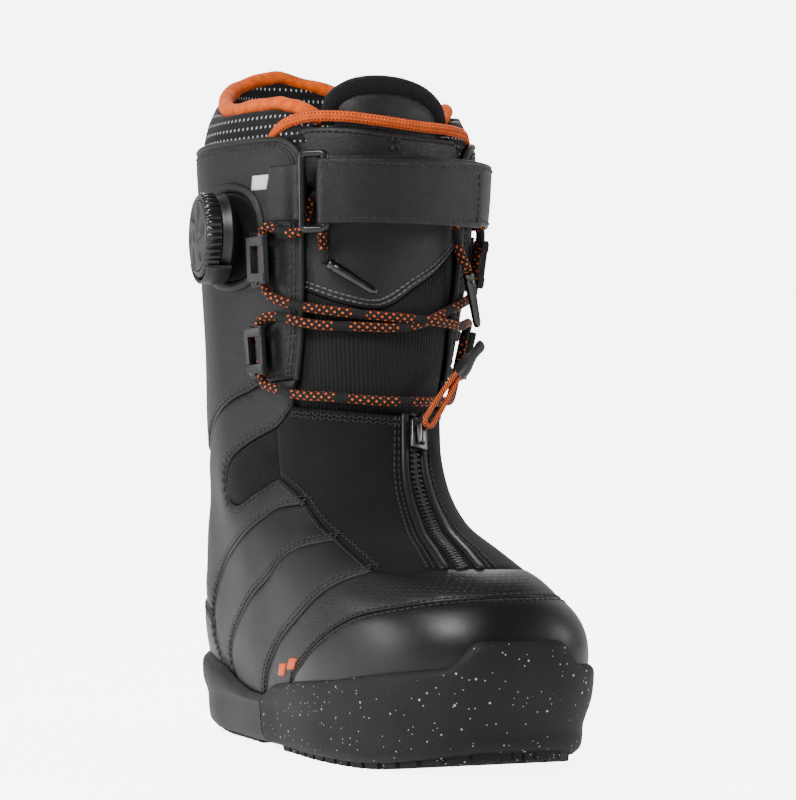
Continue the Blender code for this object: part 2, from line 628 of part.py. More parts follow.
def sole_cup(name, columns, finish, lugs=True):
    """A sole piece: wall columns round one end, the bottom and floor as strips between its two sides."""
    outer, inner = rand_rows(np.array(columns))
    rows, count = outer.shape[:2]
    half, cells = count // 2, 5
    verts, faces, lug_faces = [], [], []

    def add(points):
        start = len(verts)
        verts.extend(points)
        return list(range(start, start + len(points)))

    walls = [[add(row) for row in wall] for wall in (outer, inner)]
    for r in range(rows - 1):
        for k in range(count - 1):
            faces.append((walls[0][r][k], walls[0][r][k + 1], walls[0][r + 1][k + 1], walls[0][r + 1][k]))
            faces.append((walls[1][r][k], walls[1][r + 1][k], walls[1][r + 1][k + 1], walls[1][r][k + 1]))
    faces += [(walls[0][0][k], walls[1][0][k], walls[1][0][k + 1], walls[0][0][k + 1]) for k in range(count - 1)]
    strips = []
    for wall in (0, 1):
        strip = []
        for k in range(half):
            a, b = walls[wall][-1][k], walls[wall][-1][count - 1 - k]
            line = [verts[a] + (verts[b] - verts[a]) * m / cells for m in range(1, cells)]
            strip.append([a] + add(line) + [b])
        strip.append([walls[wall][-1][half]])
        strips.append(strip)
    for wall, strip in enumerate(strips):
        for k in range(half - 1):
            for m in range(cells):
                face = (strip[k][m], strip[k][m + 1], strip[k + 1][m + 1], strip[k + 1][m])
                faces.append(face)
                if wall == 0 and lugs and k > 0:
                    lug_faces.append(len(faces) - 1)
        tip = strip[half][0]
        faces += [(strip[half - 1][m], strip[half - 1][m + 1], tip) for m in range(cells)]
    for k in (0, count - 1):
        for r in range(rows - 1):
            faces.append((walls[0][r][k], walls[0][r + 1][k], walls[1][r + 1][k], walls[1][r][k]))
    for m in range(cells):
        faces.append((strips[0][0][m], strips[0][0][m + 1], strips[1][0][m + 1], strips[1][0][m]))
    made = make(name, verts, faces, finish)
    if lugs:
        raise_lugs(made, lug_faces, 1.3 * MM)
    return made


def raise_lugs(piece, numbers, margin):
    """Turns bottom faces into lugs that reach down to the ground line."""
    work = bmesh.new()
    work.from_mesh(piece.data)
    work.faces.ensure_lookup_table()
    chosen = [work.faces[k] for k in numbers]
    bmesh.ops.inset_individual(work, faces=chosen, thickness=margin, use_even_offset=True)
    moved = bmesh.ops.extrude_discrete_faces(work, faces=chosen)["faces"]
    for face in moved:
        for vert in face.verts:
            vert.co.z = float(ground(vert.co.y - ORIGIN_SHIFT[1]))
    bmesh.ops.recalc_face_normals(work, faces=work.faces)
    work.to_mesh(piece.data)
    work.free()


def sole():
    front = np.concatenate([np.linspace(SPLIT_U, 0, 17), -np.linspace(0, SPLIT_U, 17)[1:]])
    sole_cup("outsole_forefoot", front, rubber())
    rear = np.linspace(SPLIT_U + 0.003, 2 - SPLIT_U - 0.003, 27)
    sole_cup("midsole_heel", rear, foam(), lugs=False)
    heel_tread()
    lasting_board()


def heel_tread():
    """Rubber pad under the heel midsole, with its lugs."""
    us = np.linspace(0.64, 1.36, 21)
    outer, _ = rand_rows(us)
    edge = outer[-1]
    count, half, cells = len(us), len(us) // 2, 5
    centre = edge.mean(0)
    edge = centre + (edge - centre) * (0.93, 0.95, 1)
    edge[:, 2] = ground(edge[:, 1]) + TREAD - 0.1 * MM
    top_z, verts, faces, lugs = -GAP_UNDER, [], [], []
    strips = []
    for lift in (top_z, top_z - 1.6 * MM):
        strip = []
        for k in range(half):
            line = [edge[k] + (edge[count - 1 - k] - edge[k]) * m / cells for m in range(cells + 1)]
            strip.append([])
            for p in line:
                verts.append(p + np.array([0, 0, lift]))
                strip[-1].append(len(verts) - 1)
        verts.append(edge[half] + np.array([0, 0, lift]))
        strip.append([len(verts) - 1])
        strips.append(strip)
    for level, strip in enumerate(strips):
        for k in range(half - 1):
            for m in range(cells):
                faces.append((strip[k][m], strip[k][m + 1], strip[k + 1][m + 1], strip[k + 1][m]))
                if level:
                    lugs.append(len(faces) - 1)
        tip = strip[half][0]
        faces += [(strip[half - 1][m], strip[half - 1][m + 1], tip) for m in range(cells)]
    rims = []
    for strip in strips:
        rims.append([line[0] for line in strip[:-1]] + [strip[-1][0]]
                    + [line[-1] for line in reversed(strip[:-1])] + strip[0][-2:0:-1])
    n = len(rims[0])
    faces += [(rims[0][k], rims[0][(k + 1) % n], rims[1][(k + 1) % n], rims[1][k]) for k in range(n)]
    tread = make("outsole_heel", verts, faces, rubber())
    raise_lugs(tread, lugs, 1.3 * MM)
    triangulated(tread)


GAP_UNDER = 0.3 * MM


def flat_outline(s, lift, z, count=40):
    points = skin(s, np.linspace(-1, 1, count + 1)[:-1], lift)
    points[:, 2] = z
    return points


def lasting_board():
    rings = [flat_outline(0.06, -LEATHER - 0.8 * MM, z) for z in (22.0 * MM, 24.0 * MM)]
    make("lasting_board", *bridged(rings), board())


# ---- liner -------------------------------------------------------------------------------------------

NOTCH_U = 0.165               # half width of the liner's front opening
LINER_SPLIT = 6.4             # s where the liner's foot ends and its open cuff begins
LINER_FLOOR_Z = 29.0 * MM
COLLAR_RADIUS = 4.0 * MM


def liner_top(u):
    """s of the liner cuff's upper edge, high behind."""
    a = np.abs(wrap(u))
    return np.interp(a, [NOTCH_U, 0.2, 0.27, 0.33, 0.55, 0.7, 0.85, 1.0],
                     [10.95, 11.05, 11.2, 11.25, 11.25, 11.4, 11.62, 11.78])


def liner_depth(s):
    return LINER_BACK_LOW + (LINER_BACK_HIGH - LINER_BACK_LOW) * ease((s - 3.5) / 2)


def liner_finish():
    return material("liner_mesh", (0.03, 0.03, 0.032), 0.9)


def liner():
    side = [0.0, 0.06, 0.12, 0.18, 0.26, 0.36, 0.46, 0.56, 0.66, 0.75, 0.82, 0.88, 0.93, 0.97]
    us = np.array(side + [1.0] + [2 - a for a in reversed(side[1:])])
    rows = [0.08, 0.8, 1.5, 2.1, 2.7, 3.3, 3.8, 4.3, 4.8, 5.3, 5.8, LINER_SPLIT]
    rings = [skin(s, us, LINER_TOP) for s in rows]
    rings[0][:, 2] = 24.4 * MM
    rings += [skin(s, us, float(liner_depth(s))) for s in [*rows[:0:-1], 0.25]]
    rings[-1][:, 2] = LINER_FLOOR_Z
    make("liner_foot", *bridged(rings), liner_finish())

    low = LINER_SPLIT + 0.03
    edge_u = np.linspace(NOTCH_U, 2 - NOTCH_U, 34)
    rim = [(float(liner_top(u)), u) for u in edge_u]
    cuff = loop(straight((low, NOTCH_U), rim[0], 12 * MM), rim, straight(rim[-1], (low, 2 - NOTCH_U), 12 * MM),
                straight((low, 2 - NOTCH_U), (low, NOTCH_U), 12 * MM))
    sheet_piece("liner_cuff", cuff, LINER_TOP, LINER_BACK_HIGH, liner_finish(), pitch=16 * MM)
    edge = NOTCH_U - 0.012
    sides = smooth_line([(6.5, edge), (8, edge), (10.6, edge), (11.25, 0.135), (11.53, 0.08), (11.58, 0),
                         (11.53, -0.08), (11.25, -0.135), (10.6, -edge), (8, -edge), (6.5, -edge)])
    sheet_piece("liner_tongue", loop(sides, straight((6.5, -edge), (6.5, edge))), LINER_TOP - 0.4 * MM,
                LINER_BACK_HIGH + 2 * MM, leather(), pitch=16 * MM)
    collar_u = np.linspace(0.215, 1.785, 34)
    middle = (LINER_TOP + LINER_BACK_HIGH) / 2
    path = skin(liner_top(collar_u), collar_u, middle) + np.array([0, 0, COLLAR_RADIUS + 0.9 * MM])
    rings = swept(path, round_section(COLLAR_RADIUS, 8), up=[(0, 0, 1)] * len(path))
    make("liner_collar", *bridged(rings), orange())
    rings = [flat_outline(0.35, LINER_BACK_LOW - 2.2 * MM, z) for z in (29.6 * MM, 33.5 * MM)]
    make("footbed", *bridged(rings), material("footbed", (0.02, 0.02, 0.022), 0.9))


def ankle_harness():
    """The inner strap that the dial's cable pulls over the ankle, between shell and liner."""
    for side, sign in (("lateral", 1), ("medial", -1)):
        outline = loop(smooth_line([(5.4, sign * 0.36), (6.6, sign * 0.42), (7.6, sign * 0.46),
                                    (7.7, sign * 0.60), (6.6, sign * 0.72), (5.2, sign * 0.80)]),
                       smooth_line([(5.2, sign * 0.80), (4.7, sign * 0.62), (4.6, sign * 0.45),
                                    (5.4, sign * 0.36)]))
        sheet_piece(f"ankle_harness_{side}", outline, HARNESS_TOP, HARNESS_BACK, textile(), pitch=16 * MM)


# ---- dial --------------------------------------------------------------------------------------------

DIAL_PLACE = (9.35, 0.425)
DIAL_TURN = math.radians(7)       # the dial faces outwards and this much to the rear
DIAL_LIFT = 2.6 * MM
HOUSING_FLOOR = 1.0 * MM          # its underside, above the dial frame's origin


def dial_frame():
    """At the skin, z along the dial's level axis and y up."""
    out = Vector((-math.cos(DIAL_TURN), math.sin(DIAL_TURN), 0))
    up = Vector((0, 0, 1))
    turn = Matrix((up.cross(out), up, out)).transposed().to_4x4()
    turn.translation = Vector(skin(*DIAL_PLACE)) + out * DIAL_LIFT
    return turn


def dial_housing(frame):
    """A cup that stands on the cuff and holds the spool."""
    turned("dial_housing", [(0, HOUSING_FLOOR), (6.5 * MM, HOUSING_FLOOR), (20.2 * MM, 4.2 * MM), (19.4 * MM, 5.4 * MM),
                            (19.0 * MM, 7.6 * MM), (10.4 * MM, 7.6 * MM), (10.4 * MM, 3.0 * MM), (0, 3.0 * MM)],
           frame, plastic(), 40)


def dial():
    frame = dial_frame()
    r = DIAL_RADIUS
    dial_housing(frame)
    turned("dial_spool", [(5.2 * MM, 3.4 * MM), (9.6 * MM, 3.4 * MM), (9.6 * MM, 4.2 * MM), (7.2 * MM, 4.6 * MM),
                          (7.2 * MM, 6.2 * MM), (9.6 * MM, 6.6 * MM), (9.6 * MM, 7.4 * MM), (5.2 * MM, 7.4 * MM)],
           frame, metal(), 20)
    turned("dial_bushing", [(0, 3.4 * MM), (4.8 * MM, 3.4 * MM), (4.8 * MM, 9.6 * MM), (0, 9.6 * MM)],
           frame, grey_plastic(), 20)
    turned("dial_knob", [(0, 10.0 * MM), (16.5 * MM, 10.0 * MM), (17.5 * MM, 8.2 * MM), (r, 8.2 * MM),
                         (r, 13.6 * MM), (r - 1.6 * MM, 15.4 * MM), (17.0 * MM, 15.4 * MM),
                         (17.0 * MM, 14.0 * MM), (0, 14.0 * MM)],
           frame, plastic(), 40, ((3, 4), -0.5 * MM))
    turned("dial_cap", [(0, 14.4 * MM), (16.6 * MM, 14.4 * MM), (16.6 * MM, 15.6 * MM), (12 * MM, 16.3 * MM),
                        (0, 16.6 * MM)], frame, grey_plastic())


def dial_bumper():
    """The lip below the dial that keeps knocks off it."""
    frame = dial_frame()
    reach = 22.2 * MM
    outwards = [Vector((math.cos(t), math.sin(t), 0)) for t in np.radians(np.linspace(-145, -45, 11))]
    path = [frame @ (way * reach + Vector((0, 0, 8.6 * MM))) for way in outwards]
    rings = swept(path, oblong(12.0 * MM, 1.8 * MM), up=[np.array(frame.to_3x3() @ way) for way in outwards])
    make("dial_bumper", *bridged(rings), plastic())


# ---- lace hooks, rivets and lace ---------------------------------------------------------------------

HOOKS = {"upper_lateral": (9.02, 0.325), "lower_lateral": (7.93, 0.350),
         "upper_medial": (9.02, -0.315), "lower_medial": (7.93, -0.325)}
HOOK_BASE = 0.4 * MM


def hooks():
    for name, place in HOOKS.items():
        frame = local_frame(*place, HOOK_BASE)
        boxes = [((-7, -13, 0), (3, 13, 1.8)), ((-1, -9.5, 0.5), (1.8, 9.5, 9.0)),
                 ((-1, 6.5, 7.0), (11, 10.5, 9.0)), ((-1, -10.5, 7.0), (11, -6.5, 9.0)),
                 ((7.5, -11.5, 6.0), (11.5, 11.5, 8.6))]
        joined = None
        for low, high in boxes:
            verts, faces = block(np.array(low) * MM, np.array(high) * MM)
            piece = make(f"lace_hook_{name}", [frame @ Vector(v) for v in verts], faces, plastic())
            if joined:
                union(joined, piece)
            else:
                joined = piece
        for end, height in (("top", 9.2), ("bottom", -9.2)):
            spot = frame @ Matrix.Translation((-3.8 * MM, height * MM, 2.1 * MM))
            turned(f"rivet_{name}_{end}", [(0, 0), (2.7 * MM, 0), (2.5 * MM, 0.9 * MM), (1.5 * MM, 1.5 * MM),
                                           (0, 1.7 * MM)], spot, metal(), 12)


def hook_point(name, forward, up, out):
    return np.array(local_frame(*HOOKS[name], HOOK_BASE) @ Vector((forward * MM, up * MM, out * MM)))


def lace_route():
    """The lace from its outer aglet to its inner one, as points chosen along the tongue and hooks."""
    def through(name, downwards):
        heights = [15.5, 11.5, 5.5, 0.0, -5.5, -11.5, -15.5]
        points = [hook_point(name, 4.9 + (1.0 if abs(h) > 12 else 0), h, 4.2) for h in heights]
        return points if downwards else points[::-1]

    def over(*places):
        return [skin(s, u, lift * MM) for s, u, lift in places]

    route = over((8.97, 0.150, 3.4), (9.12, 0.158, 1.6), (9.35, 0.160, 0.2), (9.62, 0.160, -0.3),
                 (9.84, 0.165, -0.3), (9.89, 0.178, 0.2), (9.70, 0.188, 1.2), (9.46, 0.195, 2.4),
                 (9.33, 0.220, 3.4))
    route += through("upper_lateral", True)
    route += over((8.50, 0.25, 3.0), (8.44, 0.205, 2.2), (8.40, 0.16, 0.2), (8.37, 0.115, -0.2),
                  (8.33, 0.03, 0.0), (8.30, -0.05, 1.0), (8.27, -0.13, 3.8), (8.25, -0.20, 4.4))
    route += through("lower_medial", True)
    route += over((7.40, -0.245, 3.4), (7.36, -0.19, 2.7), (7.35, -0.05, 2.3), (7.36, 0.05, 2.3),
                  (7.40, 0.15, 2.3), (7.42, 0.235, 3.0))
    route += through("lower_lateral", False)
    route += over((8.32, 0.26, 3.0), (8.25, 0.20, 2.4), (8.22, 0.155, 0.2), (8.21, 0.09, -0.2),
                  (8.20, 0.0, -0.2), (8.25, -0.07, -0.2), (8.35, -0.13, -0.1), (8.47, -0.19, 2.2),
                  (8.55, -0.235, 3.4))
    route += through("upper_medial", False)
    route += over((9.72, -0.275, 3.0), (9.93, -0.25, 2.9), (10.02, -0.22, 2.8), (9.93, -0.19, 2.0),
                  (9.70, -0.175, 1.2), (9.40, -0.168, 1.6), (9.15, -0.172, 3.4), (8.92, -0.188, 6.4))
    return np.array(route)


def smooth_path(points, pitch):
    """Points about pitch apart on a Catmull-Rom curve through the route."""
    points = np.asarray(points)
    dense = []
    for i in range(len(points) - 1):
        before = points[i - 1] if i else 2 * points[0] - points[1]
        after = points[i + 2] if i + 2 < len(points) else 2 * points[-1] - points[-2]
        for t in np.arange(0, 1, 0.1):
            dense.append(0.5 * (2 * points[i] + (points[i + 1] - before) * t
                                + (2 * before - 5 * points[i] + 4 * points[i + 1] - after) * t * t
                                + (3 * points[i] - before - 3 * points[i + 1] + after) * t ** 3))
    dense.append(points[-1])
    dense = np.array(dense)
    run = np.concatenate([[0], np.cumsum(np.linalg.norm(np.diff(dense, axis=0), axis=1))])
    stops = np.linspace(0, run[-1], max(2, round(run[-1] / pitch)) + 1)
    return np.stack([np.interp(stops, run, dense[:, k]) for k in range(3)], 1)


def cord_object(name, path, radius, finish, resolution=2):
    """A cord as a curve with a round bevel and filled ends."""
    curve = bpy.data.curves.new(name, "CURVE")
    curve.dimensions = "3D"
    curve.bevel_depth, curve.bevel_resolution, curve.use_fill_caps = radius, resolution, True
    spline = curve.splines.new("POLY")
    spline.points.add(len(path) - 1)
    for point, place in zip(spline.points, path):
        point.co = (*place, 1)
    curve.materials.append(finish)
    made = bpy.data.objects.new(name, curve)
    bpy.context.scene.collection.objects.link(made)
    return made


def lace():
    path = smooth_path(lace_route(), 9.5 * MM)
    cord_object("lace", path, LACE_RADIUS, material("lace", (0.02, 0.018, 0.018), 0.9))
    for name, ends, tip in (("lateral", (path[0], path[1]), skin(8.62, 0.055, 5.5 * MM)),
                            ("medial", (path[-1], path[-2]), skin(8.12, -0.222, 13.5 * MM))):
        start = Vector(ends[0])
        way = (Vector(tip) - start).normalized()
        rings = []
        for run, width in ((1.8, 1.4), (3.0, 2.4), (6.0, 2.4), (24.0, 1.9), (28.0, 1.2)):
            place = start + way * run * MM
            rings.append(swept([place, place + way * MM], round_section(width * MM, 8))[0])
        make(f"aglet_{name}", *bridged(rings), metal())


# ---- power strap ---------------------------------------------------------------------------------------

STRAP_PLACE = (9.88, 0.165)
STRAP_HEIGHT = 30 * MM
UNDER_LIFT = 3.0 * MM
BAR_LIFT = UNDER_LIFT + STRAP + 0.5 * MM + RING_BAR + 0.4 * MM + STRAP
RING_HALF = (5.7 * MM, 17.6 * MM)


def ring_frame():
    return local_frame(*STRAP_PLACE, BAR_LIFT)


def strap():
    frame = ring_frame()
    a, b, corner = RING_HALF[0], RING_HALF[1], 2.2 * MM
    path = []
    for cx, cy, first in ((a, b, 0), (-a, b, 90), (-a, -b, 180), (a, -b, 270)):
        centre = (cx - math.copysign(corner, cx), cy - math.copysign(corner, cy))
        for k in range(4):
            angle = math.radians(first + 30 * k)
            path.append(frame @ Vector((centre[0] + corner * math.cos(angle), centre[1] + corner * math.sin(angle), 0)))
    rings = swept(path, round_section(RING_BAR, 8), closed=True, up=[frame.col[2].to_3d()] * len(path))
    left_bar = frame @ Vector((-a, 0, 0))
    make("strap_ring", *bridged(rings, closed_loop=True), plastic(), left_bar)

    bar = frame @ Vector((a, 0, 0))
    radius = RING_BAR + 0.5 * MM + STRAP / 2
    plan = [frame @ Vector((a + radius * math.cos(t), 0, radius * math.sin(t)))
            for t in np.radians(np.linspace(200, 100, 6))]
    ups = [frame.col[1].to_3d()] * len(plan)
    lifts = np.linspace(BAR_LIFT + radius, BAR_LIFT + radius + 0.5 * MM, 12)
    us = np.linspace(STRAP_PLACE[1] - 0.055, -0.175, 12)
    plan += [Vector(p) for p in skin(STRAP_PLACE[0], us, lifts)]
    ups += skin_ups(us)
    make("strap_flap", *band(plan, ups, STRAP_HEIGHT, STRAP), leather(), bar)

    us = np.linspace(STRAP_PLACE[1], -0.46, 22)
    lifts = UNDER_LIFT + 4.0 * MM * ease((0.05 - us) / 0.15)
    lifts = 0.6 * MM + (lifts - 0.6 * MM) * ease((us + 0.45) / 0.12) + STRAP / 2
    plan = [Vector(p) for p in skin(STRAP_PLACE[0] + 0.06, us, lifts)]
    make("strap_under", *band(plan, skin_ups(us), STRAP_HEIGHT, STRAP), leather())

    plan = [frame @ Vector((-a + 0.5 * MM, 0, -radius - 0.2 * MM)),
            frame @ Vector((-a - radius * 0.75, 0, -radius * 0.9)),
            frame @ Vector((-a - radius * 1.5, 0, -radius * 1.1)), Vector(skin(STRAP_PLACE[0], 0.245, 1.4 * MM)),
            Vector(skin(STRAP_PLACE[0], 0.29, 1.4 * MM))]
    ups = [frame.col[1].to_3d()] * 3 + skin_ups([0.245, 0.29])
    make("strap_anchor_tab", *band(plan, ups, 26 * MM, 1.4 * MM), leather())


def skin_ups(us):
    return [local_frame(STRAP_PLACE[0], float(u)).col[1].to_3d() for u in us]


def band(plan, ups, height, thickness):
    """A flat band of the given height along a line of points, standing along ups."""
    plan = np.array([tuple(p) for p in plan])
    rings = []
    for k, up in enumerate(ups):
        along = plan[min(k + 1, len(plan) - 1)] - plan[max(k - 1, 0)]
        out = np.cross(along, np.array(up))
        out *= thickness / 2 / np.linalg.norm(out)
        rise = np.array(up) * height / 2
        rings.append([plan[k] - rise - out, plan[k] - rise + out, plan[k] + rise + out, plan[k] + rise - out])
    return bridged(rings)


# ---- zip -----------------------------------------------------------------------------------------------

SLIDER_S = 6.9


def zip_u(s):
    line = np.array(sorted(ZIP_LINE))
    return float(np.interp(s, line[:, 0], line[:, 1]))


def zip_parts():
    chain = loop(zip_edge(1), back(zip_edge(-1)))
    sheet_piece("zip_chain", chain, 0.2 * MM, -1.8 * MM, plastic(), pitch=20 * MM)
    frame = local_frame(SLIDER_S, zip_u(SLIDER_S), 2.1 * MM)
    frame = Matrix.Translation(frame.translation) @ slider_turn()
    pieces = [((-4.6, -7, 0), (4.6, 7, 2.6)), ((-1.6, -5, 2.4), (1.6, 5, 5.4))]
    joined = None
    for low, high in pieces:
        verts, faces = block(np.array(low) * MM, np.array(high) * MM)
        piece = make("zip_slider", [frame @ Vector(v) for v in verts], faces, plastic())
        if joined:
            union(joined, piece)
        else:
            joined = piece
    start = frame @ Vector((0, 3.0 * MM, 7.4 * MM))
    top = Vector(skin(7.62, -0.10, 15.5 * MM))
    way = (top - start).normalized()
    out = Vector(normals(7.3, -0.06))
    side = way.cross(out).normalized()
    path = []
    for k in range(7):
        t = math.pi * k / 6
        path.append(start - side * 2.6 * MM * math.cos(t) + way * 2.6 * MM * (1 - math.sin(t)))
    reach = way * ((top - start).length - 1.0 * MM)
    path += [start + side * 2.6 * MM + way * 11 * MM, start + side * 1.3 * MM + reach]
    path = [start - side * 1.3 * MM + reach, start - side * 2.6 * MM + way * 11 * MM] + path
    rings = swept(path, round_section(1.25 * MM, 6))
    make("zip_pull_cord", *bridged(rings), orange(), start)
    tip = Vector(skin(8.15, -0.225, 16.5 * MM))
    way = (tip - top).normalized()
    rings = []
    for run, width in ((0, 2.6), (4, 3.6), (10, 4.2), (16, 3.4), (24, 2.4), (30, 2.8), (33, 1.4)):
        place = top + way * run * MM
        ring = swept([place - way * MM, place + way * MM], [(x * width * MM, y * width * 0.6 * MM) for x, y in
                     round_section(1.0, 10)], up=[out, out])[0]
        rings.append(np.array(ring) + np.array(way * MM))
    make("zip_pull_handle", *bridged(rings), plastic(), start)


def slider_turn():
    """Turns a slider so that its z points out of the instep and its y up along the zip."""
    u = zip_u(SLIDER_S)
    out = Vector(normals(SLIDER_S, u))
    up = Vector(surface(SLIDER_S + 0.3, zip_u(SLIDER_S + 0.3)) - surface(SLIDER_S - 0.3, zip_u(SLIDER_S - 0.3)))
    up = (up - up.dot(out) * out).normalized()
    return Matrix((up.cross(out), up, out)).transposed().to_4x4()


def cuff_tag():
    """The small raised tag on the outer cuff, left plain."""
    outline = loop(straight((9.95, 0.352), (10.20, 0.346)), straight((10.20, 0.346), (10.20, 0.290)),
                   straight((10.20, 0.290), (9.95, 0.300)), straight((9.95, 0.300), (9.95, 0.352)))
    sheet_piece("cuff_tag", outline, 1.9 * MM, 0.35 * MM, material("tag", (0.8, 0.8, 0.8), 0.5))


def build():
    for old in list(bpy.data.objects):
        bpy.data.objects.remove(old)
    side_panels()
    instep_and_toe()
    heel_and_stay()
    tongue()
    sole()
    liner()
    ankle_harness()
    dial()
    dial_bumper()
    hooks()
    lace()
    strap()
    zip_parts()
    cuff_tag()


build()
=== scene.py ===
"""Looks of the snowboard boot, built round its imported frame.

Units are metres. Toe to -Y, outer side to -X, +Z up. Sewn pieces are outlines on the same skin(s, u) that
the frame was built on: s counts section rows up from the feather line, u runs from 0 on the shin line to 1 at
the back round the outer side, and to -1 round the inner side.
"""
import math

import bmesh
import bpy
import numpy as np
from mathutils import Matrix, Vector
from mathutils.geometry import delaunay_2d_cdt


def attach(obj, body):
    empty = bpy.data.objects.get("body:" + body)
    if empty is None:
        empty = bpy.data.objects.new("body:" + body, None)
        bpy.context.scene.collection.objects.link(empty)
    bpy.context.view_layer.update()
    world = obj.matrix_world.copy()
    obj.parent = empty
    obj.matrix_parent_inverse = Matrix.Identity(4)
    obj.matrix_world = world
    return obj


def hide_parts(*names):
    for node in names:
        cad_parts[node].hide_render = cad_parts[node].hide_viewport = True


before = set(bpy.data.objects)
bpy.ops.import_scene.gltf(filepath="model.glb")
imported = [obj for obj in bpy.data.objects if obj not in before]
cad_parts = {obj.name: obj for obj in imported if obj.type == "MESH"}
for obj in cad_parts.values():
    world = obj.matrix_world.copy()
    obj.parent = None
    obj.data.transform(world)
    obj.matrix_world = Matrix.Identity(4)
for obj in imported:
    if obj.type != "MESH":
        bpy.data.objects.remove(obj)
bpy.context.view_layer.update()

MM = 0.001
ORIGIN_SHIFT = np.array([3.1, 1.55, 0.0]) * MM   # puts the origin under the middle of the boot's box

# Section rows of the skin, in mm: front point (y, z), back point (y, z), half widths on the outer side
# and on the inner side (ball, waist, heel), bluntness of the front and of the back, toe swing in x.
SECTIONS = np.array([
    (-134, 22, 136, 22, 54, 48, 42, 50, 42, 40, 3.2, 4.0, 6),
    (-143, 44, 141, 42, 59, 54, 47, 54, 48, 44, 3.0, 4.2, 7),
    (-142, 64, 143, 62, 59, 55, 49, 53, 50, 46, 2.8, 4.2, 7),
    (-127, 82, 142, 82, 58, 55, 49, 44, 49, 47, 2.2, 4.0, 6),
    (-94, 95, 140, 100, 53, 54, 49, 37, 48, 47, 2.05, 3.8, 4),
    (-61, 106, 137, 118, 48, 54, 49, 36, 48, 47, 2.05, 3.4, 2),
    (-36, 124, 135, 136, 46, 54, 50, 37, 48, 47, 2.1, 3.2, 1),
    (-22, 150, 133, 160, 47, 55, 52, 41, 51, 48, 2.1, 3.0, 0),
    (-16, 190, 132, 192, 50, 57, 54, 52, 57, 52, 2.2, 2.7, 0),
    (-16, 230, 134, 230, 53, 59, 57, 61, 64, 57, 2.2, 2.5, 0),
    (-17, 265, 137, 265, 55, 60, 58, 65, 68, 60, 2.2, 2.4, 0),
    (-18, 292, 140, 292, 56, 61, 59, 66, 69, 61, 2.2, 2.4, 0),
    (-20, 332, 143, 332, 57, 61, 59, 66, 69, 61, 2.2, 2.4, 0),
], float)
TOP_ROW = len(SECTIONS) - 1
OUTLINE_STEPS = 321           # samples along half a section, for its arc length
U_SPAN = 200 * MM             # rough length of u = 1, for laying outlines out flat
S_SPAN = 24 * MM              # rough height of s = 1

SEAM_GAP = 0.4 * MM           # between two pieces that meet at a seam
LEATHER = 2.2 * MM            # shell pieces lie between the skin and this depth
TONGUE_TOP, TONGUE_BACK = -3.4 * MM, -6.2 * MM
LINER_TOP = -7.4 * MM
LINER_BACK_LOW, LINER_BACK_HIGH = -12.0 * MM, -14.0 * MM
PANEL_PITCH = 3.6 * MM        # spacing of points inside a panel
EDGE_PITCH = 3 * MM           # spacing of points along a seam
BOTTOM = 0.02                 # s of the shell's lower edge

LACE_RADIUS = 2.25 * MM
RING_BAR = 1.9 * MM           # radius of the strap ring's bar
STRAP = 1.6 * MM              # thickness of the strap

# The view: where the camera stands, level and facing along VIEW_X, VIEW_Y on the ground.
CAMERA_PLACE = (-0.6070, -1.3688, 0.146)
VIEW_X, VIEW_Y = 0.4067, 0.9135
FOCAL_LENGTH, SENSOR_WIDTH = 143.1, 36
LENS_SHIFT = (0.0225, 0.0488)
FLOOR_REACH = 9.0             # how far the floor runs each way
BACKDROP_START, BACKDROP_RADIUS = 1.6, 1.5
FLOOR_GLOW = (0.35, 6.0)      # strength on the boot, and as seen
SKY_GLOW = (0.08, 8.0)
LIGHT_AIM = Vector((0, 0, 0.15))
LIGHTS = {"key": ((-1.2, -0.9, 1.5), 0.8, 44), "fill": ((1.5, -0.8, 0.7), 0.7, 10),
          "back": ((0.5, 1.5, 1.3), 0.9, 18), "left": ((-1.6, 0.5, 0.5), 0.6, 12)}   # place, size, power


# ---- the skin -------------------------------------------------------------------------------------

def ease(x):
    x = np.clip(x, 0, 1)
    return x * x * (3 - 2 * x)


def spline(before, here, there, after, t):
    """A point on a Catmull-Rom curve, the share t of the way from here to there."""
    return 0.5 * (2 * here + (there - before) * t + (2 * before - 5 * here + 4 * there - after) * t * t
                  + (3 * here - before - 3 * there + after) * t ** 3)


def run_of(points):
    """How far along a line each of its points lies."""
    steps = np.linalg.norm(np.diff(points, axis=0), axis=1)
    return np.concatenate([[0], np.cumsum(steps)])


def section(s):
    """The section row at height s: a Catmull-Rom blend of the rows around it."""
    s = np.clip(s, 0, TOP_ROW - 1e-9)
    i = np.floor(s).astype(int)
    t = (s - i)[..., None]
    p0, p1 = SECTIONS[np.maximum(i - 1, 0)], SECTIONS[i]
    p2, p3 = SECTIONS[np.minimum(i + 1, TOP_ROW)], SECTIONS[np.minimum(i + 2, TOP_ROW)]
    return spline(p0, p1, p2, p3, t)


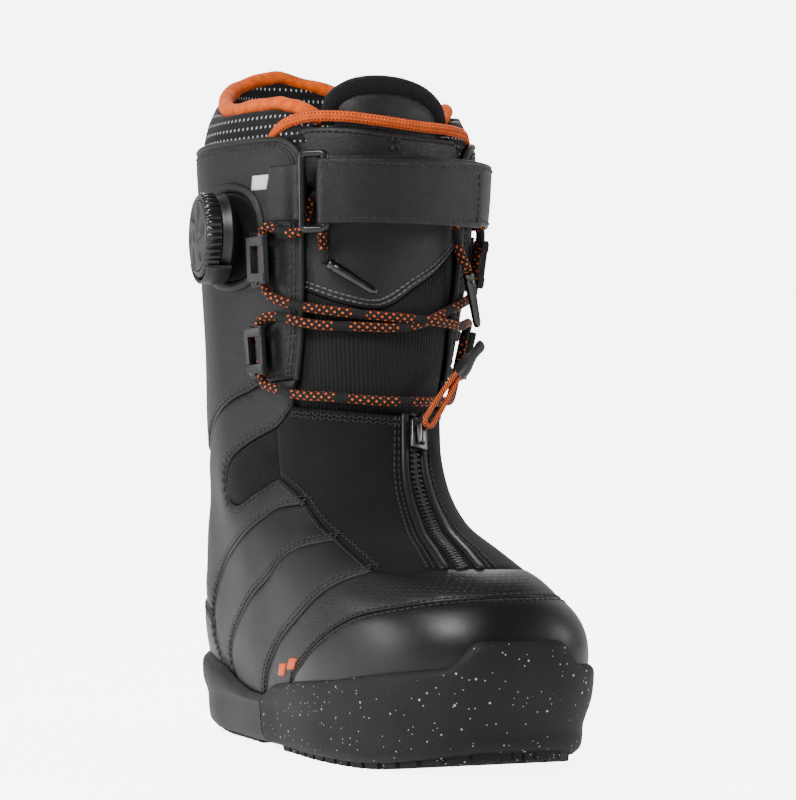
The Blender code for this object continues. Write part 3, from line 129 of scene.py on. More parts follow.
def half_outline(rows, side):
    """Points along one side of each section, front to back; side is 1 outside and -1 inside."""
    front_y, front_z, back_y, back_z = (rows[:, k:k + 1] for k in range(4))
    ball, waist, heel = (rows[:, k:k + 1] for k in ((4, 5, 6) if side > 0 else (7, 8, 9)))
    blunt_front, blunt_back, swing = (rows[:, k:k + 1] for k in (10, 11, 12))
    q = np.linspace(0, 1, OUTLINE_STEPS)
    angle = math.pi * (q - 0.9 * np.sin(2 * math.pi * q) / (2 * math.pi))
    cosine, sine = np.cos(angle), np.sin(angle)
    cosine[-1], sine[-1] = -1, 0
    power = blunt_front + (blunt_back - blunt_front) * (1 - cosine) / 2
    along = (1 - np.sign(cosine) * np.abs(cosine) ** (2 / power)) / 2
    fore = ball + (waist - ball) * ease((along - 0.28) / 0.27)
    width = np.where(along < 0.55, fore, waist + (heel - waist) * ease((along - 0.55) / 0.27))
    x = -side * width * np.abs(sine) ** (2 / power) + swing * np.clip(1 - along / 0.45, 0, 1) ** 1.5
    y = front_y + (back_y - front_y) * along
    z = front_z + (back_z - front_z) * along
    return np.stack([x, y, z], -1) * MM


def wrap(u):
    return (np.asarray(u, float) + 1) % 2 - 1


def surface(s, u):
    """Points of the skin, without the origin shift."""
    s, u = np.broadcast_arrays(np.asarray(s, float), wrap(u))
    shape, s, u = s.shape, s.ravel(), u.ravel()
    out = np.zeros((len(s), 3))
    for side in (1, -1):
        chosen = np.nonzero((u >= 0) if side > 0 else (u < 0))[0]
        if not len(chosen):
            continue
        line = half_outline(section(s[chosen]), side)
        steps = np.linalg.norm(np.diff(line, axis=1), axis=2)
        length = np.concatenate([np.zeros((len(chosen), 1)), np.cumsum(steps, 1)], 1)
        length /= length[:, -1:]
        share = np.abs(u[chosen])
        j = np.clip((length < share[:, None]).sum(1), 1, OUTLINE_STEPS - 1)
        r = np.arange(len(chosen))
        t = (share - length[r, j - 1]) / np.maximum(length[r, j] - length[r, j - 1], 1e-12)
        out[chosen] = line[r, j - 1] * (1 - t[:, None]) + line[r, j] * t[:, None]
    return out.reshape(shape + (3,))


def normals(s, u):
    """Outward unit normals of the skin."""
    s = np.asarray(s, float)
    du, ds = 0.01, 0.05
    across = surface(s, u + du) - surface(s, u - du)
    up = surface(np.clip(s + ds, 0, TOP_ROW), u) - surface(np.clip(s - ds, 0, TOP_ROW), u)
    n = np.cross(up, across)
    return n / np.linalg.norm(n, axis=-1, keepdims=True)


def skin(s, u, lift=0.0):
    """Points at a height lift above the skin, in the part's frame."""
    s, u = np.broadcast_arrays(np.asarray(s, float), np.asarray(u, float))
    lift = np.asarray(lift, float)
    return surface(s, u) + normals(s, u) * (lift[..., None] if lift.ndim else lift) + ORIGIN_SHIFT


def local_frame(s, u, lift=0.0):
    """A matrix at a skin point: x towards the shin line, y up along the skin, z outwards."""
    out = Vector(normals(s, u)).normalized()
    side = 1 if u > 0 else -1
    up = Vector(surface(s + 0.1, u) - surface(s - 0.1, u))
    up = (up - up.dot(out) * out).normalized()
    forward = up.cross(out)
    matrix = Matrix((forward * side, up * side, out)).transposed().to_4x4()
    if side < 0:
        matrix = Matrix((-forward, up, out)).transposed().to_4x4()
    matrix.translation = Vector(skin(s, u, lift))
    return matrix


# ---- outlines on the skin ---------------------------------------------------------------------------

def smooth_line(points, pitch=EDGE_PITCH):
    """Points (s, u) on a Catmull-Rom curve through the given ones, about pitch apart."""
    p = np.array(points, float)
    line = [p[0]]
    for i in range(len(p) - 1):
        before = p[i - 1] if i else 2 * p[0] - p[1]
        after = p[i + 2] if i + 2 < len(p) else 2 * p[-1] - p[-2]
        size = math.hypot((p[i + 1][0] - p[i][0]) * S_SPAN, (p[i + 1][1] - p[i][1]) * U_SPAN)
        count = max(1, round(size / pitch))
        for k in range(1, count + 1):
            line.append(spline(before, p[i], p[i + 1], after, k / count))
    return [tuple(q) for q in line]


def straight(a, b, pitch=EDGE_PITCH):
    size = math.hypot((b[0] - a[0]) * S_SPAN, (b[1] - a[1]) * U_SPAN)
    count = max(1, round(size / pitch))
    return [tuple(np.array(a) + (np.array(b) - np.array(a)) * k / count) for k in range(count + 1)]


def mirrored(line):
    return [(s, -u) for s, u in line]


def across_back(line):
    """The line's reflection in the middle of the back."""
    return [(s, 2 - u) for s, u in line]


def back(line):
    return list(reversed(line))


def loop(*lines):
    """One closed outline from lines laid end to end."""
    points = []
    for line in lines:
        for q in line:
            if not points or math.dist(points[-1], q) > 1e-6:
                points.append(tuple(q))
    if math.dist(points[0], points[-1]) < 1e-6:
        points.pop()
    return points


def inside(points, polygon):
    """Which points lie in the polygon."""
    x, y = points[:, 0], points[:, 1]
    result = np.zeros(len(points), bool)
    for (x0, y0), (x1, y1) in zip(polygon, np.roll(polygon, -1, axis=0)):
        if y0 != y1:
            crossing = (y0 > y) != (y1 > y)
            result ^= crossing & (x < (x1 - x0) * (y - y0) / (y1 - y0) + x0)
    return result


def clearance(points, polygon):
    """Distance from each point to the polygon's edge."""
    best = np.full(len(points), np.inf)
    for a, b in zip(polygon, np.roll(polygon, -1, axis=0)):
        edge = b - a
        t = np.clip(((points - a) @ edge) / max(edge @ edge, 1e-18), 0, 1)
        best = np.minimum(best, np.linalg.norm(points - a - t[:, None] * edge, axis=1))
    return best


# ---- seams -------------------------------------------------------------------------------------------

GAITER_TOP_CORNER = (7.27, 0.255)
CUFF_CORNER = (7.60, 0.238)
WINDOW_TOP = (6.95, 0.32)
WINDOW_LOW = (6.0, 0.337)
STAY_EDGE = 0.935                 # u where the back stay begins
STAY_CUFF = (5.75, STAY_EDGE)
STAY_HEEL = (2.32, STAY_EDGE)

WINDOW_ABOVE = smooth_line([WINDOW_TOP, (6.73, 0.397), (6.51, 0.455), (6.29, 0.50), (5.96, 0.542),
                            (5.53, 0.566), (5.16, 0.56)])
WINDOW_BELOW = smooth_line([(5.16, 0.56), (5.10, 0.525), (5.28, 0.477), (5.53, 0.435), (5.93, 0.355),
                            WINDOW_LOW])
WINDOW_FRONT = straight(WINDOW_LOW, WINDOW_TOP)
CUFF_FRONT_LOW = smooth_line([WINDOW_TOP, (7.05, 0.295), GAITER_TOP_CORNER])
CUFF_FRONT_MID = smooth_line([GAITER_TOP_CORNER, (7.42, 0.252), CUFF_CORNER])
CUFF_FRONT = smooth_line([CUFF_CORNER, (8.18, 0.22), (9.13, 0.213), (10.3, 0.21), (10.6, 0.22),
                          (10.80, 0.255), (10.84, 0.315)])
CUFF_TOP = smooth_line([(10.84, 0.315), (10.84, 0.5), (10.82, 0.7), (10.86, STAY_EDGE)])
CUFF_SEAM = smooth_line([CUFF_CORNER, (7.53, 0.347), (7.42, 0.403), (7.31, 0.46), (7.16, 0.515),
                         (6.91, 0.60), (6.55, 0.695), (6.15, 0.80), STAY_CUFF])
INSTEP_A = smooth_line([WINDOW_LOW, (5.72, 0.288), (5.45, 0.262)])
INSTEP_B = smooth_line([(5.45, 0.262), (5.02, 0.247), (4.42, 0.218)])
INSTEP_C = smooth_line([(4.42, 0.218), (3.93, 0.203), (3.40, 0.187)])
HEEL_SEAM_TOP = smooth_line([(5.45, 0.262), (5.20, 0.365), (4.76, 0.438), (3.96, 0.568), (3.35, 0.68),
                             (2.87, 0.74), (2.33, 0.775), (1.82, 0.79)])
HEEL_SEAM_LOW = smooth_line([(1.82, 0.79), (1.38, 0.79), (0.80, 0.775), (BOTTOM, 0.765)])
MID_SEAM = smooth_line([(4.42, 0.218), (4.0, 0.33), (3.53, 0.415), (3.02, 0.48), (2.47, 0.565),
                        (1.93, 0.633), (1.35, 0.695), (0.76, 0.73), (BOTTOM, 0.735)])
FORE_SEAM = smooth_line([(3.40, 0.187), (3.02, 0.262), (2.62, 0.323), (2.07, 0.397), (1.56, 0.465),
                         (0.98, 0.52), (0.5, 0.56), (BOTTOM, 0.585)])
TOE_SEAM = smooth_line([(BOTTOM, 0.47), (0.69, 0.44), (1.13, 0.39), (1.60, 0.338), (1.96, 0.29),
                        (2.25, 0.235), (2.47, 0.165), (2.65, 0.088), (2.72, 0.0), (2.65, -0.088),
                        (2.47, -0.165), (2.25, -0.235), (1.96, -0.29), (1.60, -0.338), (1.13, -0.39),
                        (0.69, -0.44), (BOTTOM, -0.47)])
COUNTER_TOP = smooth_line([(1.82, 0.79), (2.12, 0.84), (2.27, 0.89), STAY_HEEL])
STAY_SIDE = straight(STAY_HEEL, STAY_CUFF)
STAY_UPPER = straight(STAY_CUFF, (10.86, STAY_EDGE))
TONGUE_ARC = smooth_line([(8.75, 0.33), (8.62, 0.218), (8.47, 0.123), (8.40, 0.042), (8.47, -0.007),
                          (8.65, -0.062), (8.84, -0.127), (8.98, -0.165), (9.3, -0.25), (9.6, -0.33)])

# The zip's line down the instep, lateral to medial as it drops, and the edges of the two gaiter halves.
ZIP_LINE = smooth_line([(7.20, -0.045), (6.7, -0.0315), (6.2, -0.0165), (5.2, 0.0055), (4.4, 0.027),
                        (3.52, 0.045)])
ZIP_HALF = 0.022                  # half the chain's width, in u


def zip_edge(sign):
    return [(s, u + sign * ZIP_HALF) for s, u in ZIP_LINE]


GAITER_FOOT_LATERAL = smooth_line([(3.40, 0.187), (3.33, 0.155), (3.36, 0.12), (3.46, 0.09), zip_edge(1)[-1]])
GAITER_FOOT_MEDIAL = smooth_line([(3.40, -0.187), (3.36, -0.13), (3.45, -0.07), (3.50, -0.02),
                                  zip_edge(-1)[-1]])


# ---- shape of the sole -------------------------------------------------------------------------------

RAND_INSIDE = 1.0 * MM        # the rand's inner face stands off the shell
FLOOR_Z = 21.6 * MM           # top of the sole inside the rand
TREAD = 3.0 * MM              # depth of the lugs
TOE_SPRING = 9.5 * MM
SPLIT_U = 0.573               # where the front outsole meets the heel midsole


def rand_height(u):
    """s of the sole's upper edge: low at the waist, higher at the ball and heel, a bumper on the toe."""
    a = np.abs(wrap(u))
    line = np.interp(a, [0.0, 0.10, 0.20, 0.30, 0.42, 0.52, 0.58, 0.64, 0.71, 0.77, 0.85, 1.0],
                     [1.15, 1.15, 0.98, 0.78, 0.65, 0.5, 0.24, 0.26, 0.42, 0.68, 0.87, 0.95])
    return line + 0.55 * ease((0.095 - np.abs(wrap(u) - 0.015)) / 0.045)


def sole_flare(u):
    """How far the sole stands out from the skin."""
    a = np.abs(wrap(u))
    outer = np.interp(a, [0, 0.3, 0.6, 0.8, 1], [6.0, 4.5, 4.6, 8.0, 7.0])
    inner = np.interp(a, [0, 0.3, 0.6, 0.8, 1], [6.0, 4.0, 4.2, 7.0, 7.0])
    return np.where(wrap(u) >= 0, outer, inner) * MM


def ground(y):
    """Height of the tread's underside: toe spring in front, a small bevel behind."""
    return TOE_SPRING * np.clip((-y - 72 * MM) / (76 * MM), 0, 1.2) ** 2 \
        + 2.5 * MM * np.clip((y - 118 * MM) / (30 * MM), 0, 1) ** 2


def rand_rows(u):
    """Outer and inner points of the sole's wall at u, from its upper edge down."""
    top, flare = rand_height(u), sole_flare(u)
    outer = [skin(top, u, RAND_INSIDE + 1.3 * MM)]
    outer += [skin(top * share, u, flare * out) for share, out in ((0.88, 0.72), (0.5, 1.0), (0.0, 1.0))]
    edge = outer[-1]
    out = normals(0 * top, u) * (1, 1, 0)
    low = ground(edge[:, 1])
    for drop, pull in ((0.55, 0.5 * MM), (0.22, 1.6 * MM), (0.0, 5.0 * MM)):
        row = edge - out * pull
        row[:, 2] = low + TREAD + (edge[:, 2] - low - TREAD) * drop
        outer.append(row)
    inner = [skin(top * share, u, RAND_INSIDE) for share in np.linspace(1, 0, len(outer))]
    inner[-1][:, 2] = FLOOR_Z
    return np.array(outer), np.array(inner)


# ---- places of the liner, dial, hooks, lace, strap and slider ------------------------------------------

NOTCH_U = 0.165               # half width of the liner's front opening
LINER_SPLIT = 6.4             # s where the liner's foot ends and its open cuff begins
LINER_FLOOR_Z = 29.0 * MM
COLLAR_RADIUS = 4.0 * MM


def liner_top(u):
    """s of the liner cuff's upper edge, high behind."""
    a = np.abs(wrap(u))
    return np.interp(a, [NOTCH_U, 0.2, 0.27, 0.33, 0.55, 0.7, 0.85, 1.0],
                     [10.95, 11.05, 11.2, 11.25, 11.25, 11.4, 11.62, 11.78])


def liner_depth(s):
    return LINER_BACK_LOW + (LINER_BACK_HIGH - LINER_BACK_LOW) * ease((s - 3.5) / 2)


DIAL_PLACE = (9.35, 0.425)
DIAL_TURN = math.radians(7)       # the dial faces outwards and this much to the rear
DIAL_LIFT = 2.6 * MM
HOUSING_FOOT = (13.5 * MM, 17.0 * MM)   # half sizes of the housing's foot on the cuff
HOUSING_FOOT_BACK = 0.035         # how far round, in u, the foot lies behind the dial's axis


def dial_frame():
    """At the skin, z along the dial's level axis and y up."""
    out = Vector((-math.cos(DIAL_TURN), math.sin(DIAL_TURN), 0))
    up = Vector((0, 0, 1))
    turn = Matrix((up.cross(out), up, out)).transposed().to_4x4()
    turn.translation = Vector(skin(*DIAL_PLACE)) + out * DIAL_LIFT
    return turn


HOOKS = {"upper_lateral": (9.02, 0.325), "lower_lateral": (7.93, 0.350),
         "upper_medial": (9.02, -0.315), "lower_medial": (7.93, -0.325)}
HOOK_BASE = 0.4 * MM


def hook_point(name, forward, up, out):
    return np.array(local_frame(*HOOKS[name], HOOK_BASE) @ Vector((forward * MM, up * MM, out * MM)))


def lace_route():
    """The lace from its outer aglet to its inner one, as points chosen along the tongue and hooks."""
    def through(name, downwards):
        heights = [15.5, 11.5, 5.5, 0.0, -5.5, -11.5, -15.5]
        points = [hook_point(name, 4.9 + (1.0 if abs(h) > 12 else 0), h, 4.2) for h in heights]
        return points if downwards else points[::-1]

    def over(*places):
        return [skin(s, u, lift * MM) for s, u, lift in places]

    route = over((8.97, 0.150, 3.4), (9.12, 0.158, 1.6), (9.35, 0.160, 0.2), (9.62, 0.160, -0.3),
                 (9.84, 0.165, -0.3), (9.89, 0.178, 0.2), (9.70, 0.188, 1.2), (9.46, 0.195, 2.4),
                 (9.33, 0.220, 3.4))
    route += through("upper_lateral", True)
    route += over((8.50, 0.25, 3.0), (8.44, 0.205, 2.2), (8.40, 0.16, 0.2), (8.37, 0.115, -0.2),
                  (8.33, 0.03, 0.0), (8.30, -0.05, 1.0), (8.27, -0.13, 3.8), (8.25, -0.20, 4.4))
    route += through("lower_medial", True)
    route += over((7.40, -0.245, 3.4), (7.36, -0.19, 2.7), (7.35, -0.05, 2.3), (7.36, 0.05, 2.3),
                  (7.40, 0.15, 2.3), (7.42, 0.235, 3.0))
    route += through("lower_lateral", False)
    route += over((8.32, 0.26, 3.0), (8.25, 0.20, 2.4), (8.22, 0.155, 0.2), (8.21, 0.09, -0.2),
                  (8.20, 0.0, -0.2), (8.25, -0.07, -0.2), (8.35, -0.13, -0.1), (8.47, -0.19, 2.2),
                  (8.55, -0.235, 3.4))
    route += through("upper_medial", False)
    route += over((9.72, -0.275, 3.0), (9.93, -0.25, 2.9), (10.02, -0.22, 2.8), (9.93, -0.19, 2.0),
                  (9.70, -0.175, 1.2), (9.40, -0.168, 1.6), (9.15, -0.172, 3.4), (8.92, -0.188, 6.4))
    return np.array(route)


def smooth_path(points, pitch):
    """Points about pitch apart on a Catmull-Rom curve through the route."""
    points = np.asarray(points)
    dense = []
    for i in range(len(points) - 1):
        before = points[i - 1] if i else 2 * points[0] - points[1]
        after = points[i + 2] if i + 2 < len(points) else 2 * points[-1] - points[-2]
        dense += [spline(before, points[i], points[i + 1], after, t) for t in np.arange(0, 1, 0.1)]
    dense.append(points[-1])
    dense = np.array(dense)
    run = run_of(dense)
    stops = np.linspace(0, run[-1], max(2, round(run[-1] / pitch)) + 1)
    return np.stack([np.interp(stops, run, dense[:, k]) for k in range(3)], 1)


STRAP_PLACE = (9.88, 0.165)
STRAP_HEIGHT = 30 * MM
UNDER_LIFT = 3.0 * MM
BAR_LIFT = UNDER_LIFT + STRAP + 0.5 * MM + RING_BAR + 0.4 * MM + STRAP
RING_HALF = (5.7 * MM, 17.6 * MM)


def ring_frame():
    return local_frame(*STRAP_PLACE, BAR_LIFT)


SLIDER_S = 6.9                # where the zip's slider rests


def zip_u(s):
    line = np.array(sorted(ZIP_LINE))
    return float(np.interp(s, line[:, 0], line[:, 1]))


def slider_turn():
    """Turns a slider so that its z points out of the instep and its y up along the zip."""
    u = zip_u(SLIDER_S)
    out = Vector(normals(SLIDER_S, u))
    up = Vector(surface(SLIDER_S + 0.3, zip_u(SLIDER_S + 0.3)) - surface(SLIDER_S - 0.3, zip_u(SLIDER_S - 0.3)))
    up = (up - up.dot(out) * out).normalized()
    return Matrix((up.cross(out), up, out)).transposed().to_4x4()


# ---- skins over rings ---------------------------------------------------------------------------------

def bridged(rings, closed_loop=False, cap=True):
    """Vertices and quads through rings of equal length; caps are fans round a middle point."""
    rings = [np.asarray(ring, float) for ring in rings]
    n = len(rings[0])
    verts = [v for ring in rings for v in ring]
    pairs = len(rings) if closed_loop else len(rings) - 1
    faces = []
    for r in range(pairs):
        a, b = r * n, ((r + 1) % len(rings)) * n
        faces += [(a + k, a + (k + 1) % n, b + (k + 1) % n, b + k) for k in range(n)]
    if cap and not closed_loop:
        for start, ring, flip in ((0, rings[0], True), ((len(rings) - 1) * n, rings[-1], False)):
            verts.append(ring.mean(0))
            tip = len(verts) - 1
            for k in range(n):
                a, b = start + k, start + (k + 1) % n
                faces.append((b, a, tip) if flip else (a, b, tip))
    return verts, faces


def swept(path, across, closed=False, up=None):
    """Rings of a flat section carried along a path; across lists (side, out) offsets.

    up gives the direction of 'out' at each path point; without it the section turns as little as it can.
    """
    path = np.asarray(path, float)
    count = len(path)
    rings, last = [], None
    for k in range(count):
        ahead = path[(k + 1) % count] if closed or k + 1 < count else path[k]
        behind = path[k - 1] if closed or k else path[k]
        along = (ahead - behind) / np.linalg.norm(ahead - behind)
        guide = np.asarray(up[k]) if up is not None else last
        if guide is None:
            guide = np.array([0.0, 0.0, 1.0]) if abs(along[2]) < 0.8 else np.array([0.0, 1.0, 0.0])
        out = guide - guide @ along * along
        out /= np.linalg.norm(out)
        last = out
        side = np.cross(along, out)
        rings.append([path[k] + a * side + b * out for a, b in across])
    return rings


def round_section(radius, sides=8):
    turns = [2 * math.pi * k / sides for k in range(sides)]
    return [(radius * math.cos(t), radius * math.sin(t)) for t in turns]


# ---- materials --------------------------------------------------------------------------------------

class Finish:
    """A procedural material. Heights are in metres; they are summed into one bump."""

    def __init__(self, name, colour, rough, metal=0.0, coat=0.0, sheen=0.0, specular=0.5):
        self.material = bpy.data.materials.new(name)
        self.material.use_nodes = True
        self.tree = self.material.node_tree
        self.shader = self.tree.nodes["Principled BSDF"]
        self.colour, self.rough, self.height = (*colour, 1), rough, None
        for key, value in (("Metallic", metal), ("Coat Weight", coat), ("Coat Roughness", 0.25),
                           ("Sheen Weight", sheen), ("Sheen Roughness", 0.5), ("Specular IOR Level", specular)):
            self.shader.inputs[key].default_value = value

    def put(self, socket, value):
        if isinstance(value, bpy.types.NodeSocket):
            self.tree.links.new(value, socket)
        else:
            socket.default_value = value

    def node(self, kind, inputs=(), **settings):
        made = self.tree.nodes.new("ShaderNode" + kind)
        for key, value in settings.items():
            setattr(made, key, value)
        for key, value in dict(inputs).items():
            self.put(made.inputs[key], value)
        return made

    def math(self, operation, a, b=0.0, c=0.0):
        return self.node("Math", {0: a, 1: b, 2: c}, operation=operation).outputs[0]

    def place(self, source="Object", turn=0.0, scale=(1, 1, 1)):
        where = self.node("TexCoord").outputs[source]
        return self.node("Mapping", {0: where, "Rotation": (0, 0, turn), "Scale": scale}).outputs[0]

    def split(self, vector):
        return self.node("SeparateXYZ", {0: vector}).outputs

    def mix(self, share, a, b):
        made = self.node("Mix", data_type="RGBA")
        for key, value in ((0, share), (6, a), (7, b)):
            self.put(made.inputs[key], value)
        return made.outputs[2]

    def ramp(self, value, low, high):
        return self.node("MapRange", {0: value, 1: low, 2: high}).outputs[0]

    def raise_by(self, height):
        self.height = height if self.height is None else self.math("ADD", self.height, height)
        return self

    def noise(self, scale, detail=3.0, source="Object", stretch=(1, 1, 1)):
        return self.node("TexNoise", {"Vector": self.place(source, scale=stretch), "Scale": scale,
                                      "Detail": detail}).outputs["Fac"]

    def fuzz(self, scale, depth, detail=3.0, stretch=(1, 1, 1)):
        return self.raise_by(self.math("MULTIPLY", self.noise(scale, detail, stretch=stretch), depth))

    def mottle(self, scale, amount, rough_amount=0.0):
        """Uneven colour, and with it uneven gloss."""
        share = self.noise(scale, 4.0)
        dark = tuple(c * (1 - amount) for c in self.colour[:3]) if isinstance(self.colour, tuple) else None
        if dark:
            light = tuple(min(1, c * (1 + amount)) for c in self.colour[:3])
            self.colour = self.mix(self.ramp(share, 0.3, 0.7), (*dark, 1), (*light, 1))
        if rough_amount:
            self.rough = self.math("MULTIPLY_ADD", share, rough_amount, self.rough - rough_amount / 2)
        return self

    def grain(self, scale, depth, randomness=1.0):
        """Leather cells: creases round small raised pads."""
        cell = self.node("TexVoronoi", {"Vector": self.place(), "Scale": scale, "Randomness": randomness},
                         feature="DISTANCE_TO_EDGE").outputs["Distance"]
        pads = self.math("MULTIPLY", self.ramp(cell, 0.0, 0.22), depth)
        return self.raise_by(pads)

    def dimples(self, pitch, radius, depth, colour=None, source="UV"):
        """A staggered grid of round dots; depth below zero presses them in."""
        x, y, _ = self.split(self.place(source, scale=(1 / pitch, 1 / pitch, 1)))
        row = self.math("FLOOR", y)
        x = self.math("ADD", x, self.math("MULTIPLY", row, 0.5))
        dx = self.math("SUBTRACT", self.math("FRACT", x), 0.5)
        dy = self.math("SUBTRACT", self.math("FRACT", y), 0.5)
        far = self.math("SQRT", self.math("ADD", self.math("MULTIPLY", dx, dx), self.math("MULTIPLY", dy, dy)))
        dot = self.ramp(far, radius / pitch, radius / pitch * 0.6)
        self.raise_by(self.math("MULTIPLY", dot, depth))
        # colour paints the dots: where they are pressed in (depth below zero) it is painted shade in the holes, where
        # they are raised it is their printed colour.
        if colour:
            self.colour = self.mix(dot, self.colour, (*colour, 1))
        return self

    def ribs(self, pitch, depth, turn=0.0, dark=0.0, source="UV"):
        x, _, _ = self.split(self.place(source, turn, (2 * math.pi / pitch,) * 2 + (1,)))
        wave = self.math("MULTIPLY_ADD", self.math("SINE", x), 0.5, 0.5)
        # dark paints the rib troughs a darker tone: painted shade in the grooves.
        if dark:
            base = self.colour
            groove_shade = tuple(c * (1 - dark) for c in base[:3]) if isinstance(base, tuple) else (0.004, 0.004, 0.004)
            self.colour = self.mix(wave, (*groove_shade, 1), base)
        return self.raise_by(self.math("MULTIPLY", wave, depth))

    def weave(self, pitch, depth, source="UV"):
        return self.ribs(pitch, depth, 0.0, source=source).ribs(pitch, depth, math.pi / 2, source=source)

    def specks(self, scale, share, colour, size=0.3):
        cell = self.node("TexVoronoi", {"Vector": self.place(), "Scale": scale})
        near = self.ramp(cell.outputs["Distance"], size, size * 0.8)
        lucky = self.math("GREATER_THAN", self.split(cell.outputs["Color"])[0], 1 - share)
        self.colour = self.mix(self.math("MULTIPLY", near, lucky), self.colour, (*colour, 1))
        return self

    def wear(self, colour, low=0.52, high=0.62, amount=0.6):
        """Rubbed edges: a paler tone where the surface is sharply convex."""
        edge = self.ramp(self.node("NewGeometry").outputs["Pointiness"], low, high)
        patchy = self.math("MULTIPLY", edge, self.math("MULTIPLY", self.noise(90), amount * 1.6))
        self.colour = self.mix(patchy, self.colour, (*colour, 1))
        return self

    def done(self):
        self.put(self.shader.inputs["Base Color"], self.colour)
        self.put(self.shader.inputs["Roughness"], self.rough)
        if self.height is not None:
            bump = self.node("Bump", {"Strength": 1.0, "Distance": 1.0, "Height": self.height})
            self.put(self.shader.inputs["Normal"], bump.outputs[0])
        return self.material


LEATHER_FINISH = Finish("fine_grain_leather", (0.0105, 0.01, 0.0102), 0.42, specular=0.3) \
    .mottle(28, 0.25, 0.14).grain(1300, 0.00006).fuzz(3200, 0.00003).wear((0.04, 0.039, 0.04)).done()
STRAP_FINISH = Finish("strap_leather", (0.012, 0.0116, 0.012), 0.4, specular=0.32) \
    .mottle(34, 0.25, 0.12).grain(1050, 0.00007).fuzz(3000, 0.00003).wear((0.045, 0.044, 0.045)).done()
VAMP_FINISH = Finish("dotted_synthetic", (0.01, 0.0097, 0.01), 0.44, specular=0.3) \
    .mottle(30, 0.2, 0.1).dimples(0.0021, 0.0006, -0.00012).fuzz(2600, 0.00002).wear((0.035, 0.035, 0.036)).done()
GLOSS_FINISH = Finish("smooth_synthetic", (0.006, 0.006, 0.0064), 0.36, coat=0.06, specular=0.35) \
    .mottle(22, 0.2, 0.1).grain(1900, 0.00002).fuzz(150, 0.00006).wear((0.03, 0.03, 0.032)).done()
SOFTSHELL = Finish("softshell_cloth", (0.0045, 0.0045, 0.005), 0.85, sheen=0.03, specular=0.2) \
    .mottle(45, 0.3).weave(0.0007, 0.00005).fuzz(900, 0.00006).done()
# The ribs' troughs are painted half as dark: painted shade in the grooves.
RIBBED = Finish("ribbed_cloth", (0.008, 0.008, 0.0085), 0.8, sheen=0.04, specular=0.25) \
    .ribs(0.0021, 0.0003, 0.0, 0.5).weave(0.0006, 0.00003).fuzz(700, 0.00005).done()
WINDOW_CLOTH = Finish("stretch_cloth", (0.006, 0.006, 0.0065), 0.88, sheen=0.03, specular=0.2) \
    .weave(0.0011, 0.00009).mottle(60, 0.3).done()
RUBBER = Finish("speckled_rubber", (0.011, 0.0108, 0.0112), 0.6, specular=0.25) \
    .mottle(40, 0.2, 0.1).specks(430, 0.05, (0.5, 0.5, 0.52), 0.26).specks(800, 0.05, (0.4, 0.4, 0.42), 0.3) \
    .ribs(0.0016, 0.00006, 0.7).fuzz(1100, 0.00008).done()
FOAM = Finish("midsole_foam", (0.014, 0.014, 0.0148), 0.52, specular=0.3) \
    .mottle(35, 0.15, 0.12).fuzz(900, 0.00005).fuzz(60, 0.0002).wear((0.035, 0.035, 0.036)).done()
PLASTIC = Finish("moulded_plastic", (0.006, 0.006, 0.0065), 0.3) \
    .mottle(70, 0.2, 0.12).fuzz(1500, 0.00002).wear((0.06, 0.06, 0.06), amount=0.35).done()
SATIN_PLASTIC = Finish("satin_plastic", (0.009, 0.009, 0.0095), 0.42, specular=0.42) \
    .mottle(70, 0.2, 0.1).fuzz(2200, 0.00003).wear((0.07, 0.07, 0.07), amount=0.4).done()
GREY_PLASTIC = Finish("grey_plastic", (0.03, 0.03, 0.032), 0.42) \
    .mottle(60, 0.15, 0.1).fuzz(2000, 0.00003).wear((0.09, 0.09, 0.095), amount=0.5).done()
WELT = Finish("smooth_welt", (0.011, 0.011, 0.0115), 0.42, specular=0.3) \
    .mottle(40, 0.15, 0.1).fuzz(1500, 0.00002).done()
PLUSH = Finish("orange_plush", (0.86, 0.12, 0.008), 0.95, sheen=0.1, specular=0.15) \
    .mottle(240, 0.3).fuzz(1400, 0.0006, 5.0).fuzz(300, 0.0005).done()
# The pressed-in holes of the mesh are painted dark orange: painted shade in the holes.
ORANGE_MESH = Finish("orange_mesh", (0.84, 0.12, 0.008), 0.85, sheen=0.08, specular=0.2) \
    .mottle(200, 0.2).dimples(0.0017, 0.0006, -0.0004, (0.25, 0.035, 0.008)).fuzz(1500, 0.0001).done()
# The cord's rib troughs are painted darker: painted shade in the grooves.
ORANGE_CORD = Finish("orange_cord", (0.88, 0.12, 0.008), 0.7, sheen=0.08, specular=0.3) \
    .mottle(300, 0.2).ribs(0.0011, 0.00012, 0.6, 0.3).done()
ORANGE_PRINT = Finish("orange_print", (0.85, 0.1, 0.008), 0.5).mottle(200, 0.15).fuzz(1500, 0.00003).done()
DARK_METAL = Finish("dark_nickel", (0.06, 0.059, 0.058), 0.3, metal=1.0) \
    .mottle(120, 0.2, 0.15).fuzz(2500, 0.00001).wear((0.3, 0.29, 0.28), amount=0.5).done()
THREAD = Finish("black_thread", (0.012, 0.012, 0.0125), 0.55, sheen=0.05) \
    .ribs(0.0005, 0.00006, 0.6, source="Object").mottle(400, 0.3).done()
PALE_THREAD = Finish("grey_thread", (0.11, 0.108, 0.106), 0.6, sheen=0.2) \
    .ribs(0.0005, 0.00006, 0.6, source="Object").mottle(400, 0.3).done()
LINER_MESH = Finish("dotted_mesh", (0.006, 0.006, 0.0065), 0.85, sheen=0.05, specular=0.25) \
    .weave(0.0012, 0.0001).dimples(0.0031, 0.00055, 0.0001, (0.55, 0.55, 0.56)).fuzz(500, 0.0002).done()
LINING = Finish("lining_cloth", (0.008, 0.008, 0.0085), 0.9, sheen=0.08, specular=0.2) \
    .mottle(60, 0.3).weave(0.0014, 0.00012).fuzz(700, 0.0003).done()
